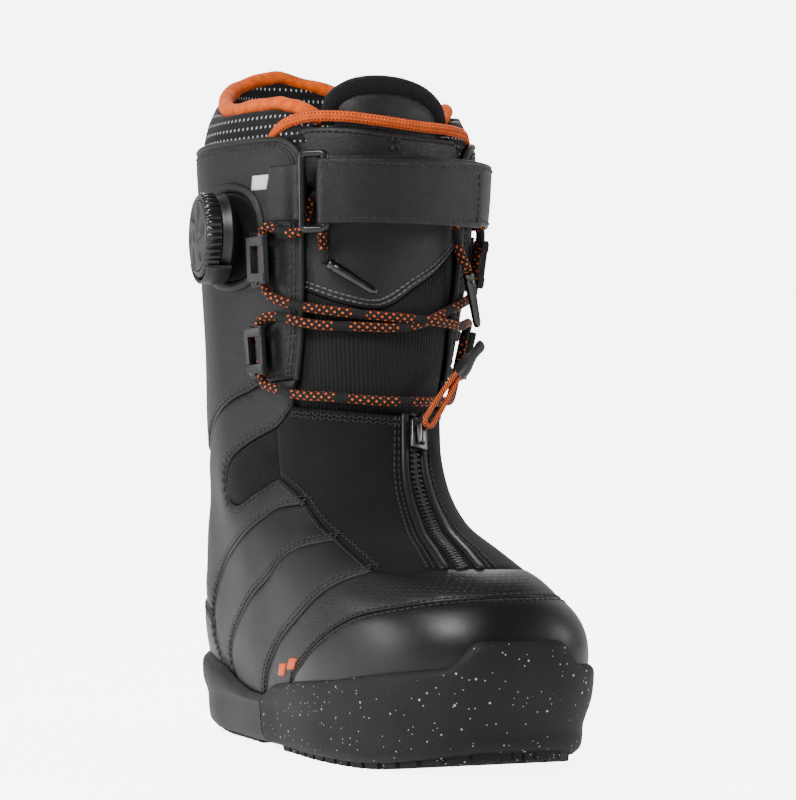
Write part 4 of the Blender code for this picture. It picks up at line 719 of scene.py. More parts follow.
# The pressed-in holes are painted a deeper black: painted shade in the holes.
BLACK_MESH = Finish("black_mesh", (0.006, 0.006, 0.0065), 0.85, sheen=0.05, specular=0.2) \
    .dimples(0.0019, 0.0006, -0.0003, (0.003, 0.003, 0.003)).fuzz(500, 0.0002).done()
TAG_CLOTH = Finish("tag_cloth", (0.74, 0.74, 0.73), 0.6, sheen=0.1) \
    .mottle(120, 0.06).weave(0.0006, 0.00005).done()
BOARD = Finish("fibre_board", (0.3, 0.25, 0.19), 0.85).mottle(200, 0.25).fuzz(900, 0.0002).done()


def braid():
    """The lace's braid: crossing strands, with flecks of orange yarn in spells along its length."""
    made = Finish("lace_braid", (0.008, 0.0077, 0.008), 0.7, sheen=0.05, specular=0.25)
    turns = 2 * math.pi * LACE_RADIUS
    along, round_it, _ = made.split(made.place("UV"))
    cells = []
    for way in (1, -1):
        slant = made.math("ADD", made.math("MULTIPLY", along, 1 / 0.0036),
                          made.math("MULTIPLY", round_it, way * 4 / turns))
        cells.append(slant)
    a, b = (made.math("ABSOLUTE", made.math("SINE", made.math("MULTIPLY", c, math.pi * 2))) for c in cells)
    made.raise_by(made.math("MULTIPLY", made.math("MAXIMUM", a, b), 0.00028))
    # The braid's tone is darker along the lines between its strands: painted shade in the grooves of the braid.
    base = made.mix(made.math("MULTIPLY", a, b), (0.003, 0.003, 0.003, 1), (0.012, 0.0115, 0.0115, 1))
    fa, fb = (made.math("ABSOLUTE", made.math("SUBTRACT", made.math("FRACT", made.math("MULTIPLY", c, 1.0)), 0.5))
              for c in cells)
    knot = made.math("MULTIPLY", made.math("LESS_THAN", fa, 0.2), made.math("LESS_THAN", fb, 0.2))
    spell = made.math("GREATER_THAN", made.math("FRACT", made.math("MULTIPLY", along, 1 / 0.03)), 0.22)
    made.colour = made.mix(made.math("MULTIPLY", knot, spell), base, (0.88, 0.13, 0.012, 1))
    return made.done()


LACE_FINISH = braid()


# ---- making pieces ----------------------------------------------------------------------------------

def outward_mesh(name, verts, faces):
    """A mesh with its faces turned outwards."""
    mesh = bpy.data.meshes.new(name)
    mesh.from_pydata(verts, [], faces)
    work = bmesh.new()
    work.from_mesh(mesh)
    bmesh.ops.recalc_face_normals(work, faces=work.faces)
    work.to_mesh(mesh)
    work.free()
    return mesh


def piece(name, verts, faces, finish, body="boot", stands_for=(), uv=None, sharp=40):
    """A visible piece that rides on a body and stands for CAD nodes; uv gives each vertex flat metres."""
    mesh = outward_mesh(name, [tuple(v) for v in verts], [tuple(int(k) for k in f) for f in faces])
    if uv is None:
        uv = np.array([(v[0] + v[1], v[2]) for v in verts])
    layer = mesh.uv_layers.new(name="flat")
    for corner in mesh.loops:
        layer.data[corner.index].uv = uv[corner.vertex_index]
    mesh.materials.append(finish)
    mesh.shade_smooth()
    mesh.set_sharp_from_angle(angle=math.radians(sharp))
    made = bpy.data.objects.new(name, mesh)
    bpy.context.scene.collection.objects.link(made)
    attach(made, body)
    if stands_for:
        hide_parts(*stands_for)
    return made


def rounded(made, width, segments=3, angle=40):
    """Rounds a piece's sharp edges."""
    bevel = made.modifiers.new("round", "BEVEL")
    bevel.width, bevel.segments, bevel.limit_method = width, segments, "ANGLE"
    bevel.angle_limit = math.radians(angle)
    bevel.harden_normals = False
    applied(made)
    made.data.shade_smooth()
    made.data.set_sharp_from_angle(angle=math.radians(50))
    return made


def applied(made):
    """Bakes a piece's modifiers into its mesh."""
    evaluated = made.evaluated_get(bpy.context.evaluated_depsgraph_get())
    mesh = bpy.data.meshes.new_from_object(evaluated)
    made.modifiers.clear()
    made.data = mesh


def sheet_mesh(outline, top, bottom, puff=0.0, reach=9 * MM, pitch=PANEL_PITCH):
    """A fine closed sheet over an outline; puff swells its middle, and its upper rim is rolled down."""
    border = np.array(outline)[:, ::-1] * (U_SPAN, S_SPAN)
    low, high = border.min(0), border.max(0)
    grid = np.array([(x + (row % 2) * pitch / 2, y)
                     for row, y in enumerate(np.arange(low[1] + pitch / 2, high[1], pitch * 0.75))
                     for x in np.arange(low[0] + pitch / 4, high[0], pitch)]).reshape(-1, 2)
    keep = inside(grid, border) & (clearance(grid, border) > pitch * 0.42)
    points = np.concatenate([border, grid[keep]])
    edges = [(k, (k + 1) % len(border)) for k in range(len(border))]
    verts, _, triangles, *_ = delaunay_2d_cdt([Vector(p) for p in points], edges, [], 0, 1e-9)
    verts = np.array([tuple(v) for v in verts])
    triangles = np.array([tuple(t) for t in triangles])
    middles = verts[triangles].mean(1)
    ends = verts[triangles]
    spread = np.cross(ends[:, 1] - ends[:, 0], ends[:, 2] - ends[:, 0])
    triangles = triangles[inside(middles, border) & (np.abs(spread) > 2e-9)]
    s, u = verts[:, 1] / S_SPAN, verts[:, 0] / U_SPAN
    base, out = surface(s, u) + ORIGIN_SHIFT, normals(s, u)
    edge_step = {(p, q) for a, b, c in triangles for p, q in ((a, b), (b, c), (c, a))}
    rim = {p: q for p, q in edge_step if (q, p) not in edge_step}
    came_from = {q: p for p, q in rim.items()}
    rim_points = np.array(sorted(rim))
    inward = np.zeros_like(base)
    for p, q in rim.items():
        before, after = base[p] - base[came_from.get(p, p)], base[q] - base[p]
        ins = [np.cross(edge / max(np.linalg.norm(edge), 1e-9), out[p]) for edge in (before, after)]
        total = ins[0] + ins[1]
        size = max(np.linalg.norm(total), 0.6)
        inward[p] = total / size / max(size / 2, 0.4)
    edge_far = np.full(len(base), np.inf)
    for k in range(0, len(base), 400):
        gap = np.linalg.norm(base[k:k + 400, None] - base[None, rim_points], axis=2)
        edge_far[k:k + 400] = gap.min(1)
    lifts = [np.asarray(level(s, u) if callable(level) else np.full(len(s), level)) for level in (top, bottom)]
    swell = puff * ease(edge_far / reach)
    upper = base + inward * (SEAM_GAP / 2) + out * (lifts[0] + swell)[:, None]
    lower = base + inward * (SEAM_GAP / 2) + out * lifts[1][:, None]
    count, thick = len(verts), np.abs(lifts[0] - lifts[1])
    shoulder = {p: 2 * count + i for i, p in enumerate(rim_points)}
    roll = np.minimum(0.55 * MM, thick * 0.35)
    side = np.array([base[p] + inward[p] * (SEAM_GAP / 2) + out[p] * (lifts[0][p] - roll[p] * 1.3)
                     for p in rim_points])
    for p in rim_points:
        upper[p] += inward[p] * roll[p] - out[p] * roll[p] * 0.25
    faces = [(a, b, c) for a, b, c in triangles]
    faces += [(a + count, c + count, b + count) for a, b, c in triangles]
    faces += [(q, p, shoulder[p], shoulder[q]) for p, q in rim.items()]
    faces += [(shoulder[q], shoulder[p], p + count, q + count) for p, q in rim.items()]
    both = np.concatenate([upper, lower, side])
    flat = np.concatenate([verts, verts, verts[rim_points]])
    used = np.unique(np.concatenate([np.ravel(f) for f in faces]))
    place = np.full(len(both), -1)
    place[used] = np.arange(len(used))
    return both[used], [[place[k] for k in face] for face in faces], flat[used]


def panel(name, node, outline, top, bottom, finish, slot, puff=0.6 * MM, **more):
    verts, faces, flat = sheet_mesh(outline, top, bottom, puff, **more)
    return piece(name, verts, faces, finish, stands_for=(node,) if node else (), uv=flat, sharp=55)


def tube(name, path, radius, finish, sides=10, body="boot", stands_for=(), up=None, closed=False, squeeze=1.0):
    """A round cord or roll along a path, with domed ends."""
    path = np.asarray(path, float)
    ring = [(x, y * squeeze) for x, y in round_section(1.0, sides)]
    radii = np.full(len(path), radius) if np.isscalar(radius) else np.asarray(radius)
    if not closed:
        first = (path[0] - path[1]) / np.linalg.norm(path[0] - path[1])
        last = (path[-1] - path[-2]) / np.linalg.norm(path[-1] - path[-2])
        path = np.concatenate([[path[0] + first * radii[0] * 0.5], path, [path[-1] + last * radii[-1] * 0.5]])
        radii = np.concatenate([[radii[0] * 0.72], radii, [radii[-1] * 0.72]])
        if up is not None:
            up = np.concatenate([[up[0]], up, [up[-1]]])
    rings = swept(path, ring, closed=closed, up=up)
    rings = [path[k] + (np.array(r) - path[k]) * radii[k] for k, r in enumerate(rings)]
    verts, faces = bridged(rings, closed_loop=closed)
    run = run_of(path)
    uv = [(run[k], radii[k] * 2 * math.pi * m / sides) for k in range(len(path)) for m in range(sides)]
    uv += [(0, 0), (run[-1], 0)][:len(verts) - len(uv)]
    return piece(name, verts, faces, finish, body, stands_for, uv, 70)


def fine_path(points, pitch):
    return smooth_path(np.asarray(points, float), pitch)


def line_on_skin(line, lift=0.0, pitch=1.5 * MM):
    """Dense points, normals and directions along a line of (s, u) on the skin."""
    s, u = np.array(line, float).T
    coarse = skin(s, u, lift)
    run = run_of(coarse)
    stops = np.linspace(0, run[-1], max(2, int(run[-1] / pitch)) + 1)
    s, u = np.interp(stops, run, s), np.interp(stops, run, u)
    points, out = skin(s, u, lift), normals(s, u)
    along = np.gradient(points, axis=0)
    along /= np.linalg.norm(along, axis=1)[:, None]
    return points, out, along, s, u


stitches = {"dark": [], "pale": []}


def stitch(line, outline=None, inset=2.2 * MM, lift=0.2 * MM, step=3.3 * MM, length=2.5 * MM, tone="dark",
           width=0.42 * MM, zigzag=0.0):
    """A row of stitches beside a line, on the side where the outline lies."""
    points, out, along, s, u = line_on_skin(line, 0.0, step)
    side = np.cross(out, along)
    if outline is not None:
        k = len(points) // 2
        flat = np.array([u[k] * U_SPAN, s[k] * S_SPAN])
        ring = np.array(outline)[:, ::-1] * (U_SPAN, S_SPAN)
        j = min(k + 1, len(s) - 1)
        way = np.array([(u[j] - u[j - 1]) * U_SPAN, (s[j] - s[j - 1]) * S_SPAN])
        left = np.array([-way[1], way[0]]) / np.linalg.norm(way)
        probe = surface(s[k] + left[1] * 0.03, u[k] + left[0] * 0.003) - surface(s[k], u[k])
        flat_inside = inside(np.array([flat + left * 1.5 * MM]), ring)[0]
        if (probe @ side[k] > 0) != flat_inside:
            side = -side
    points = points + side * inset + out * lift
    for k in range(len(points) - 1):
        way = points[k + 1] - points[k]
        size = np.linalg.norm(way)
        if size < step * 0.35:
            continue
        way /= size
        if zigzag:
            swing = side[k] * zigzag * (1 if k % 2 else -1)
            way = way + swing
            way /= np.linalg.norm(way)
        stitches[tone].append(((points[k] + points[k + 1]) / 2, way, out[k], length / 2, width))


def double_stitch(line, outline, inset=2.0 * MM, gap=2.1 * MM, **more):
    stitch(line, outline, inset, **more)
    stitch(line, outline, inset + gap, **more)


def sew(name, rows, finish, body="boot"):
    """Turns a list of stitches into one piece of short rounded threads."""
    if not rows:
        return
    ring = [(0.0, 1.0), (0.87, 0.5), (0.87, -0.4), (0.0, -0.75), (-0.87, -0.4), (-0.87, 0.5)]
    verts, faces = [], []
    for middle, way, out, half, width in rows:
        out = out - way * (out @ way)
        out = out / np.linalg.norm(out)
        side = np.cross(way, out)
        start = len(verts)
        for at, size in ((-1.0, 0.45), (-0.6, 1.0), (0.6, 1.0), (1.0, 0.45)):
            centre = middle + way * half * at - out * width * (0.35 if abs(at) == 1 else 0)
            verts += [centre + side * a * width * size + out * b * width * size for a, b in ring]
        for r in range(3):
            for k in range(6):
                a, b = start + r * 6 + k, start + r * 6 + (k + 1) % 6
                faces.append((a, b, b + 6, a + 6))
        faces += [tuple(start + k for k in reversed(range(6))), tuple(start + 18 + k for k in range(6))]
    piece(name, verts, faces, finish, body, sharp=80)


# ---- camera, floor and lights -----------------------------------------------------------------------

def link_ray_level(tree, socket, lighting, seen):
    """The white studio is brighter where it is seen than where it lights the boot."""
    path = tree.nodes.new("ShaderNodeLightPath")
    level = tree.nodes.new("ShaderNodeMapRange")
    level.inputs["To Min"].default_value, level.inputs["To Max"].default_value = lighting, seen
    tree.links.new(path.outputs["Is Camera Ray"], level.inputs["Value"])
    tree.links.new(level.outputs[0], socket)


def add_camera():
    lens = bpy.data.cameras.new("camera")
    lens.lens, lens.sensor_width = FOCAL_LENGTH, SENSOR_WIDTH
    lens.shift_x, lens.shift_y = LENS_SHIFT
    lens.clip_end = 30
    camera = bpy.data.objects.new("camera", lens)
    camera.location = CAMERA_PLACE
    camera.rotation_euler = (math.pi / 2, 0, -math.atan2(VIEW_X, VIEW_Y))
    bpy.context.scene.collection.objects.link(camera)
    bpy.context.scene.camera = camera


def backdrop():
    """A white floor that curves up behind the boot."""
    bend = [(BACKDROP_START + BACKDROP_RADIUS * math.sin(a), BACKDROP_RADIUS - BACKDROP_RADIUS * math.cos(a))
            for a in np.radians(np.arange(5, 91, 5))]
    rows = [(-FLOOR_REACH, 0.0), (BACKDROP_START, 0.0)] + bend + [(BACKDROP_START + BACKDROP_RADIUS, FLOOR_REACH)]
    verts = [(VIEW_X * reach + VIEW_Y * across, VIEW_Y * reach - VIEW_X * across, height)
             for reach, height in rows for across in (-FLOOR_REACH, FLOOR_REACH)]
    faces = [(2 * k, 2 * k + 1, 2 * k + 3, 2 * k + 2) for k in range(len(rows) - 1)]
    floor = bpy.data.meshes.new("floor")
    floor.from_pydata(verts, [], faces)
    floor.shade_smooth()
    pale = Finish("floor_white", (0.9, 0.9, 0.9), 0.7)
    pale.mottle(3, 0.01)
    pale.shader.inputs["Emission Color"].default_value = (1, 1, 1, 1)
    link_ray_level(pale.tree, pale.shader.inputs["Emission Strength"], *FLOOR_GLOW)
    floor.materials.append(pale.done())
    stand = bpy.data.objects.new("floor", floor)
    bpy.context.scene.collection.objects.link(stand)


def add_lights():
    world = bpy.data.worlds.new("studio")
    world.use_nodes = True
    sky = world.node_tree.nodes["Background"]
    sky.inputs["Color"].default_value = (1, 1, 1, 1)
    link_ray_level(world.node_tree, sky.inputs["Strength"], *SKY_GLOW)
    bpy.context.scene.world = world
    for name, (place, size, power) in LIGHTS.items():
        light = bpy.data.lights.new(name, "AREA")
        light.shape, light.size, light.energy = "DISK", size, power
        made = bpy.data.objects.new(name, light)
        made.location = place
        made.rotation_euler = (LIGHT_AIM - Vector(place)).to_track_quat("-Z", "Y").to_euler()
        bpy.context.scene.collection.objects.link(made)


# ---- lace -------------------------------------------------------------------------------------------

def lace_and_aglets():
    path = smooth_path(lace_route(), 9.5 * MM)
    fine = smooth_path(path, 2.4 * MM)
    cord = tube("lace_cord", fine, LACE_RADIUS, LACE_FINISH, 12, stands_for=("lace",))
    for name, end, tip in (("lateral", (path[0], path[1]), skin(8.62, 0.055, 5.5 * MM)),
                           ("medial", (path[-1], path[-2]), skin(8.12, -0.222, 13.5 * MM))):
        start = Vector(end[0])
        way = (Vector(tip) - start).normalized()
        turn = way.to_track_quat("Z", "Y").to_matrix().to_4x4()
        turn.translation = start
        profile = [(0, 1.2), (1.5, 1.4), (2.5, 2.2), (2.62, 3.0), (2.62, 4.2), (2.4, 4.6), (2.4, 5.4), (2.55, 5.8),
                   (2.5, 8), (2.2, 16), (1.95, 24), (1.9, 26), (1.6, 27.4), (1.0, 28.2), (0, 28.4)]
        lathe(f"aglet_{name}_tip", profile, turn, DARK_METAL, 24,
                          stands_for=(f"aglet_{name}",))


def lathe(name, profile, matrix, finish, segments=48, body="boot", stands_for=(), wobble=None, closed=False):
    """A turned piece from (radius, height) points in mm; wobble(angle, index) adds to the radius in mm."""
    verts, rings, uv = [], [], []
    for index, (radius, height) in enumerate(profile):
        if radius == 0:
            verts.append(matrix @ Vector((0, 0, height * MM)))
            uv.append((0, height * MM))
            rings.append([len(verts) - 1] * segments)
            continue
        ring = []
        for k in range(segments):
            angle = 2 * math.pi * k / segments
            reach = (radius + (wobble(angle, index) if wobble else 0)) * MM
            verts.append(matrix @ Vector((reach * math.cos(angle), reach * math.sin(angle), height * MM)))
            uv.append((radius * MM * angle, height * MM))
            ring.append(len(verts) - 1)
        rings.append(ring)
    faces = []
    for r in range(len(rings) if closed else len(rings) - 1):
        low, high = rings[r], rings[(r + 1) % len(rings)]
        for k in range(segments):
            m = (k + 1) % segments
            face = []
            for v in (low[k], low[m], high[m], high[k]):
                if v not in face:
                    face.append(v)
            if len(face) > 2:
                faces.append(face)
    return piece(name, verts, faces, finish, body, stands_for, uv, 40)


# ---- sewn shell -------------------------------------------------------------------------------------

PUFF = 0.8 * MM
CUFF_OUTLINE = loop(CUFF_FRONT, CUFF_TOP, back(STAY_UPPER), back(CUFF_SEAM))
ANKLE_OUTLINE = loop(CUFF_SEAM, back(STAY_SIDE), back(COUNTER_TOP), back(HEEL_SEAM_TOP), back(INSTEP_A),
                     back(WINDOW_BELOW), back(WINDOW_ABOVE), CUFF_FRONT_LOW, CUFF_FRONT_MID)
WINDOW_OUTLINE = loop(WINDOW_ABOVE, WINDOW_BELOW, WINDOW_FRONT)
REAR_OUTLINE = loop(HEEL_SEAM_TOP, HEEL_SEAM_LOW, straight((BOTTOM, 0.765), (BOTTOM, 0.735)), back(MID_SEAM),
                    back(INSTEP_B))
FORE_OUTLINE = loop(MID_SEAM, straight((BOTTOM, 0.735), (BOTTOM, 0.585)), back(FORE_SEAM), back(INSTEP_C))
TOE_OUTLINE = loop(TOE_SEAM, straight((BOTTOM, -0.47), (BOTTOM, 0.47)))
VAMP_OUTLINE = loop(FORE_SEAM, straight((BOTTOM, 0.585), (BOTTOM, 0.47)), TOE_SEAM,
                    straight((BOTTOM, -0.47), (BOTTOM, -0.585)), back(mirrored(FORE_SEAM)), GAITER_FOOT_MEDIAL,
                    back(GAITER_FOOT_LATERAL))


def shell():
    for side, flip in (("lateral", list), ("medial", mirrored)):
        panel(f"cuff_{side}_leather", f"cuff_{side}", flip(CUFF_OUTLINE), 0.35 * MM, -LEATHER, LEATHER_FINISH,
              "leather", PUFF)
        panel(f"ankle_panel_{side}_leather", f"ankle_panel_{side}", flip(ANKLE_OUTLINE), 0.1 * MM, -LEATHER,
              LEATHER_FINISH, "leather", PUFF)
        window = panel(f"stretch_window_{side}_cloth", f"stretch_window_{side}", flip(WINDOW_OUTLINE), -0.9 * MM,
                       -LEATHER, WINDOW_CLOTH, "ribbed_textile", 0.9 * MM)
        panel(f"quarter_rear_{side}_leather", f"quarter_rear_{side}", flip(REAR_OUTLINE), 0, -LEATHER,
              LEATHER_FINISH, "leather", PUFF)
        panel(f"quarter_fore_{side}_leather", f"quarter_fore_{side}", flip(FORE_OUTLINE), 0, -LEATHER,
              LEATHER_FINISH, "leather", PUFF)
        seam_rows(flip)
        roll = flip(CUFF_FRONT) + flip(CUFF_TOP)[1:]
        points, out, *_ = line_on_skin(roll, -0.7 * MM, 2.5 * MM)
        tube(f"cuff_{side}_rolled_edge", points, 1.55 * MM, LEATHER_FINISH, 10, up=list(out))
    panel("toe_cap_shell", "toe_cap", TOE_OUTLINE, 0.3 * MM, -LEATHER, GLOSS_FINISH, "gloss_synthetic", 0.5 * MM,
          reach=6 * MM)
    panel("vamp_synthetic", "vamp", VAMP_OUTLINE, 0, -LEATHER, VAMP_FINISH, "leather", 0.5 * MM)
    counter = loop(back(HEEL_SEAM_LOW), COUNTER_TOP, straight(STAY_HEEL, (2.32, 2 - STAY_EDGE)),
                   across_back(back(COUNTER_TOP)), across_back(HEEL_SEAM_LOW),
                   straight((BOTTOM, 2 - 0.765), (BOTTOM, 0.765)))
    panel("heel_counter_shell", "heel_counter", counter, 0.5 * MM, -LEATHER, GLOSS_FINISH, "gloss_synthetic",
          0.6 * MM)
    stay = loop(STAY_SIDE, STAY_UPPER, straight((10.86, STAY_EDGE), (10.86, 2 - STAY_EDGE)),
                across_back(back(STAY_UPPER)), across_back(back(STAY_SIDE)),
                straight((2.32, 2 - STAY_EDGE), STAY_HEEL))
    panel("back_stay_leather", "back_stay", stay, 0.7 * MM, -LEATHER, STRAP_FINISH, "leather", 0.7 * MM)
    points, out, *_ = line_on_skin([(10.86, STAY_EDGE + 0.004), (10.86, 2 - STAY_EDGE - 0.004)], -0.5 * MM, 2.5 * MM)
    tube("back_stay_rolled_edge", points, 1.6 * MM, LEATHER_FINISH, 10, up=list(out))
    for line in (STAY_SIDE, STAY_UPPER):
        for flip in (list, across_back):
            double_stitch(flip(line), stay, 1.9 * MM, lift=0.9 * MM)
    double_stitch(straight((2.32, 2 - STAY_EDGE), STAY_HEEL), stay, 1.9 * MM, lift=0.9 * MM)
    for flip in (list, across_back):
        double_stitch(flip(back(HEEL_SEAM_LOW)), counter, 2.0 * MM, lift=0.7 * MM)
        double_stitch(flip(COUNTER_TOP), counter, 2.0 * MM, lift=0.7 * MM)
    stitch(TOE_SEAM, TOE_OUTLINE, 1.7 * MM, lift=0.45 * MM)
    stitch(TOE_SEAM, VAMP_OUTLINE, 1.6 * MM, lift=0.2 * MM)


def seam_rows(flip):
    double_stitch(flip(CUFF_FRONT), flip(CUFF_OUTLINE), 3.0 * MM, lift=0.65 * MM)
    double_stitch(flip(CUFF_TOP), flip(CUFF_OUTLINE), 3.0 * MM, lift=0.65 * MM)
    double_stitch(flip(CUFF_SEAM), flip(CUFF_OUTLINE), lift=0.6 * MM)
    double_stitch(flip(HEEL_SEAM_TOP), flip(ANKLE_OUTLINE), lift=0.35 * MM)
    double_stitch(flip(MID_SEAM), flip(REAR_OUTLINE), lift=0.25 * MM)
    double_stitch(flip(FORE_SEAM), flip(FORE_OUTLINE), lift=0.25 * MM)
    for line in (WINDOW_ABOVE, WINDOW_BELOW):
        double_stitch(flip(line), flip(ANKLE_OUTLINE), 1.9 * MM, lift=0.35 * MM)
    stitch(flip(INSTEP_A), flip(ANKLE_OUTLINE), 1.9 * MM, lift=0.35 * MM)
    stitch(flip(INSTEP_B), flip(REAR_OUTLINE), 1.9 * MM, lift=0.25 * MM)
    stitch(flip(INSTEP_C), flip(FORE_OUTLINE), 1.9 * MM, lift=0.25 * MM)
    stitch(flip(CUFF_FRONT_LOW), flip(ANKLE_OUTLINE), 1.9 * MM, lift=0.35 * MM)


ZIGZAG = {"zigzag": 0.9, "step": 2.0 * MM, "length": 2.2 * MM, "width": 0.34 * MM}


def gaiter():
    for side, sign in (("lateral", 1), ("medial", -1)):
        flip = list if sign > 0 else mirrored
        edge = zip_edge(sign)
        below = GAITER_FOOT_LATERAL if sign > 0 else GAITER_FOOT_MEDIAL
        high, corner = edge[0], (GAITER_TOP_CORNER[0], sign * GAITER_TOP_CORNER[1])
        above = smooth_line([high, (7.24, (high[1] + corner[1]) / 2), corner])
        outline = loop(below, back(edge), above, back(flip(CUFF_FRONT_LOW)), back(flip(WINDOW_FRONT)),
                       flip(INSTEP_A), flip(INSTEP_B), flip(INSTEP_C))
        cloth = panel(f"gaiter_{side}_cloth", f"gaiter_{side}", outline, -0.4 * MM, -LEATHER, SOFTSHELL, "softshell",
                      0.9 * MM, reach=14 * MM)
        stitch(above, outline, 2.6 * MM, lift=0.0, **ZIGZAG)
        stitch(above, outline, 4.4 * MM, lift=0.1 * MM, **ZIGZAG)
        stitch(flip(INSTEP_A) + flip(INSTEP_B)[1:] + flip(INSTEP_C)[1:], outline, 3.0 * MM, lift=0.0, **ZIGZAG)
        welt = [(s, u + sign * 0.004) for s, u in edge]
        points, out, *_ = line_on_skin(welt, 0.2 * MM, 2.0 * MM)
        tube(f"zip_welt_{side}", points, 2.0 * MM, WELT, 12, up=list(out), squeeze=0.6)
        stitch([(s, u + sign * 0.018) for s, u in edge], None, 0.0, lift=0.1 * MM)
        stitch([(s, u + sign * 0.028) for s, u in edge], None, 0.0, lift=0.25 * MM)


# ---- tongue -----------------------------------------------------------------------------------------

def tongue():
    foot, edge = 4.3, 0.33
    lower = loop(TONGUE_ARC, straight(TONGUE_ARC[-1], (foot, -edge)), straight((foot, -edge), (foot, edge)),
                 straight((foot, edge), TONGUE_ARC[0]))
    panel("tongue_textile_pad", "tongue_textile", lower, TONGUE_TOP - 0.4 * MM, TONGUE_BACK, RIBBED,
          "ribbed_textile", 0.6 * MM)
    rim_line = smooth_line([(10.5, edge), (10.86, 0.28), (10.98, 0.21), (10.98, 0.12), (10.93, 0.03), (10.88, -0.07),
                            (10.87, -0.18), (10.82, -0.26), (10.5, -edge)])
    upper = loop(rim_line, straight((10.5, -edge), TONGUE_ARC[-1]), back(TONGUE_ARC),
                 straight(TONGUE_ARC[0], (10.5, edge)))
    panel("tongue_leather_pad", "tongue_leather", upper, TONGUE_TOP, TONGUE_BACK, STRAP_FINISH,
                    "leather", 1.0 * MM, reach=16 * MM)
    s, u = np.array(rim_line[1:-1]).T
    path = fine_path(skin(s + 0.14, u, (TONGUE_TOP + TONGUE_BACK) / 2 + 0.5 * MM), 2 * MM)
    tube("tongue_binding_mesh", path, 2.7 * MM, ORANGE_MESH, 12, stands_for=("tongue_binding",))
    double_stitch(TONGUE_ARC, upper, 2.4 * MM, lift=TONGUE_TOP + 0.35 * MM, tone="pale")
    stitch(rim_line, upper, 2.0 * MM, lift=TONGUE_TOP + 0.3 * MM)
    for gap in (-1.6 * MM, 1.6 * MM):
        stitch(straight((10.25, -0.005), (10.86, -0.005)), None, gap, lift=TONGUE_TOP + 1.0 * MM)


# ---- sole -------------------------------------------------------------------------------------------

def smooth_rows(rows, times):
    """More rows on a Catmull-Rom curve through the given ones."""
    out = []
    for i in range(len(rows) - 1):
        before = rows[i - 1] if i else 2 * rows[0] - rows[1]
        after = rows[i + 2] if i + 2 < len(rows) else 2 * rows[-1] - rows[-2]
        out += [spline(before, rows[i], rows[i + 1], after, k / times) for k in range(times)]
    return np.array(out + [rows[-1]])


def cup(name, node, columns, finish):
    outer, inner = rand_rows(np.array(columns))
    lip = outer[0] * 0.55 + inner[0] * 0.45
    up = outer[0] - outer[1]
    lip = lip + up / np.linalg.norm(up, axis=1)[:, None] * 0.7 * MM
    outer = smooth_rows(np.concatenate([[inner[0]], [lip], outer]), 3)
    inner = smooth_rows(inner, 2)
    count, half, cells = len(columns), len(columns) // 2, 10
    verts, faces, uv = [], [], []
    us = np.array(columns)

    def add(points, v=0.0):
        start = len(verts)
        verts.extend(points)
        uv.extend((float(us[min(k, len(us) - 1)]) * 0.27, v) for k in range(len(points)))
        return list(range(start, start + len(points)))

    heights = np.linspace(0, 0.045, len(outer))
    out_rows = [add(row, heights[r]) for r, row in enumerate(outer)]
    in_rows = [out_rows[0]] + [add(row) for row in inner[1:]]
    for wall, flip in ((out_rows, 1), (in_rows, -1)):
        for r in range(len(wall) - 1):
            for k in range(count - 1):
                faces.append((wall[r][k], wall[r][k + 1], wall[r + 1][k + 1], wall[r + 1][k])[::flip])
    strips = []
    for wall in (out_rows, in_rows):
        strip = []
        for k in range(half):
            a, b = wall[-1][k], wall[-1][count - 1 - k]
            line = [verts[a] + (verts[b] - verts[a]) * m / cells for m in range(1, cells)]
            strip.append([a] + add(line) + [b])
        strip.append([wall[-1][half]])
        strips.append(strip)
    for wall, strip in enumerate(strips):
        for k in range(half - 1):
            faces += [(strip[k][m], strip[k][m + 1], strip[k + 1][m + 1], strip[k + 1][m]) for m in range(cells)]
        tip = strip[half][0]
        faces += [(strip[half - 1][m], strip[half - 1][m + 1], tip) for m in range(cells)]
    for k in (0, count - 1):
        ring = [row[k] for row in out_rows] + [row[k] for row in reversed(in_rows[1:])]
        faces.append(tuple(ring))
    ring_a, ring_b = strips[0][0], strips[1][0]
    faces += [(ring_a[m], ring_a[m + 1], ring_b[m + 1], ring_b[m]) for m in range(cells)]
    return piece(name, verts, faces, finish, stands_for=(node,), uv=uv, sharp=60)


def lug_blocks(name, corners, finish):
    """Tread blocks with tapered, rounded sides; corners lists their four upper corner points."""
    verts, faces = [], []
    for quad in corners:
        quad = np.array(quad)
        middle = quad.mean(0)
        start = len(verts)
        for share, rise, level in ((1.0, 1.2 * MM, 0), (1.0, 0.0, 0), (0.93, 0.0, 1), (0.86, 0.0, 2)):
            ring = middle + (quad - middle) * share
            for p in ring:
                low = float(ground(p[1] - ORIGIN_SHIFT[1]))
                z = quad[:, 2].mean() + rise if level == 0 else low + (0.45 * MM if level == 1 else 0)
                verts.append((p[0], p[1], z))
        for r in range(3):
            for k in range(4):
                a, b = start + 4 * r + k, start + 4 * r + (k + 1) % 4
                faces.append((a, b, b + 4, a + 4))
        faces += [(start + 3, start + 2, start + 1, start), tuple(start + 12 + k for k in range(4))]
    piece(name, verts, faces, finish, sharp=30)


def lugs_under(strips, cells, start=1):
    """Lug corners from the cells between two sides of a sole's edge."""
    found = []
    count = len(strips)
    for k in range(start, count // 2 - 1):
        for m in range(cells):
            def at(row, share):
                a, b = strips[row], strips[count - 1 - row]
                return a + (b - a) * share
            lo, hi = (m + 0.09) / cells, (m + 0.91) / cells
            a0, a1, b1, b0 = at(k, lo), at(k, hi), at(k + 1, hi), at(k + 1, lo)
            quad = [a0 + (b0 - a0) * 0.1, a1 + (b1 - a1) * 0.1, b1 + (a1 - b1) * 0.1, b0 + (a0 - b0) * 0.1]
            found.append(quad)
    return found


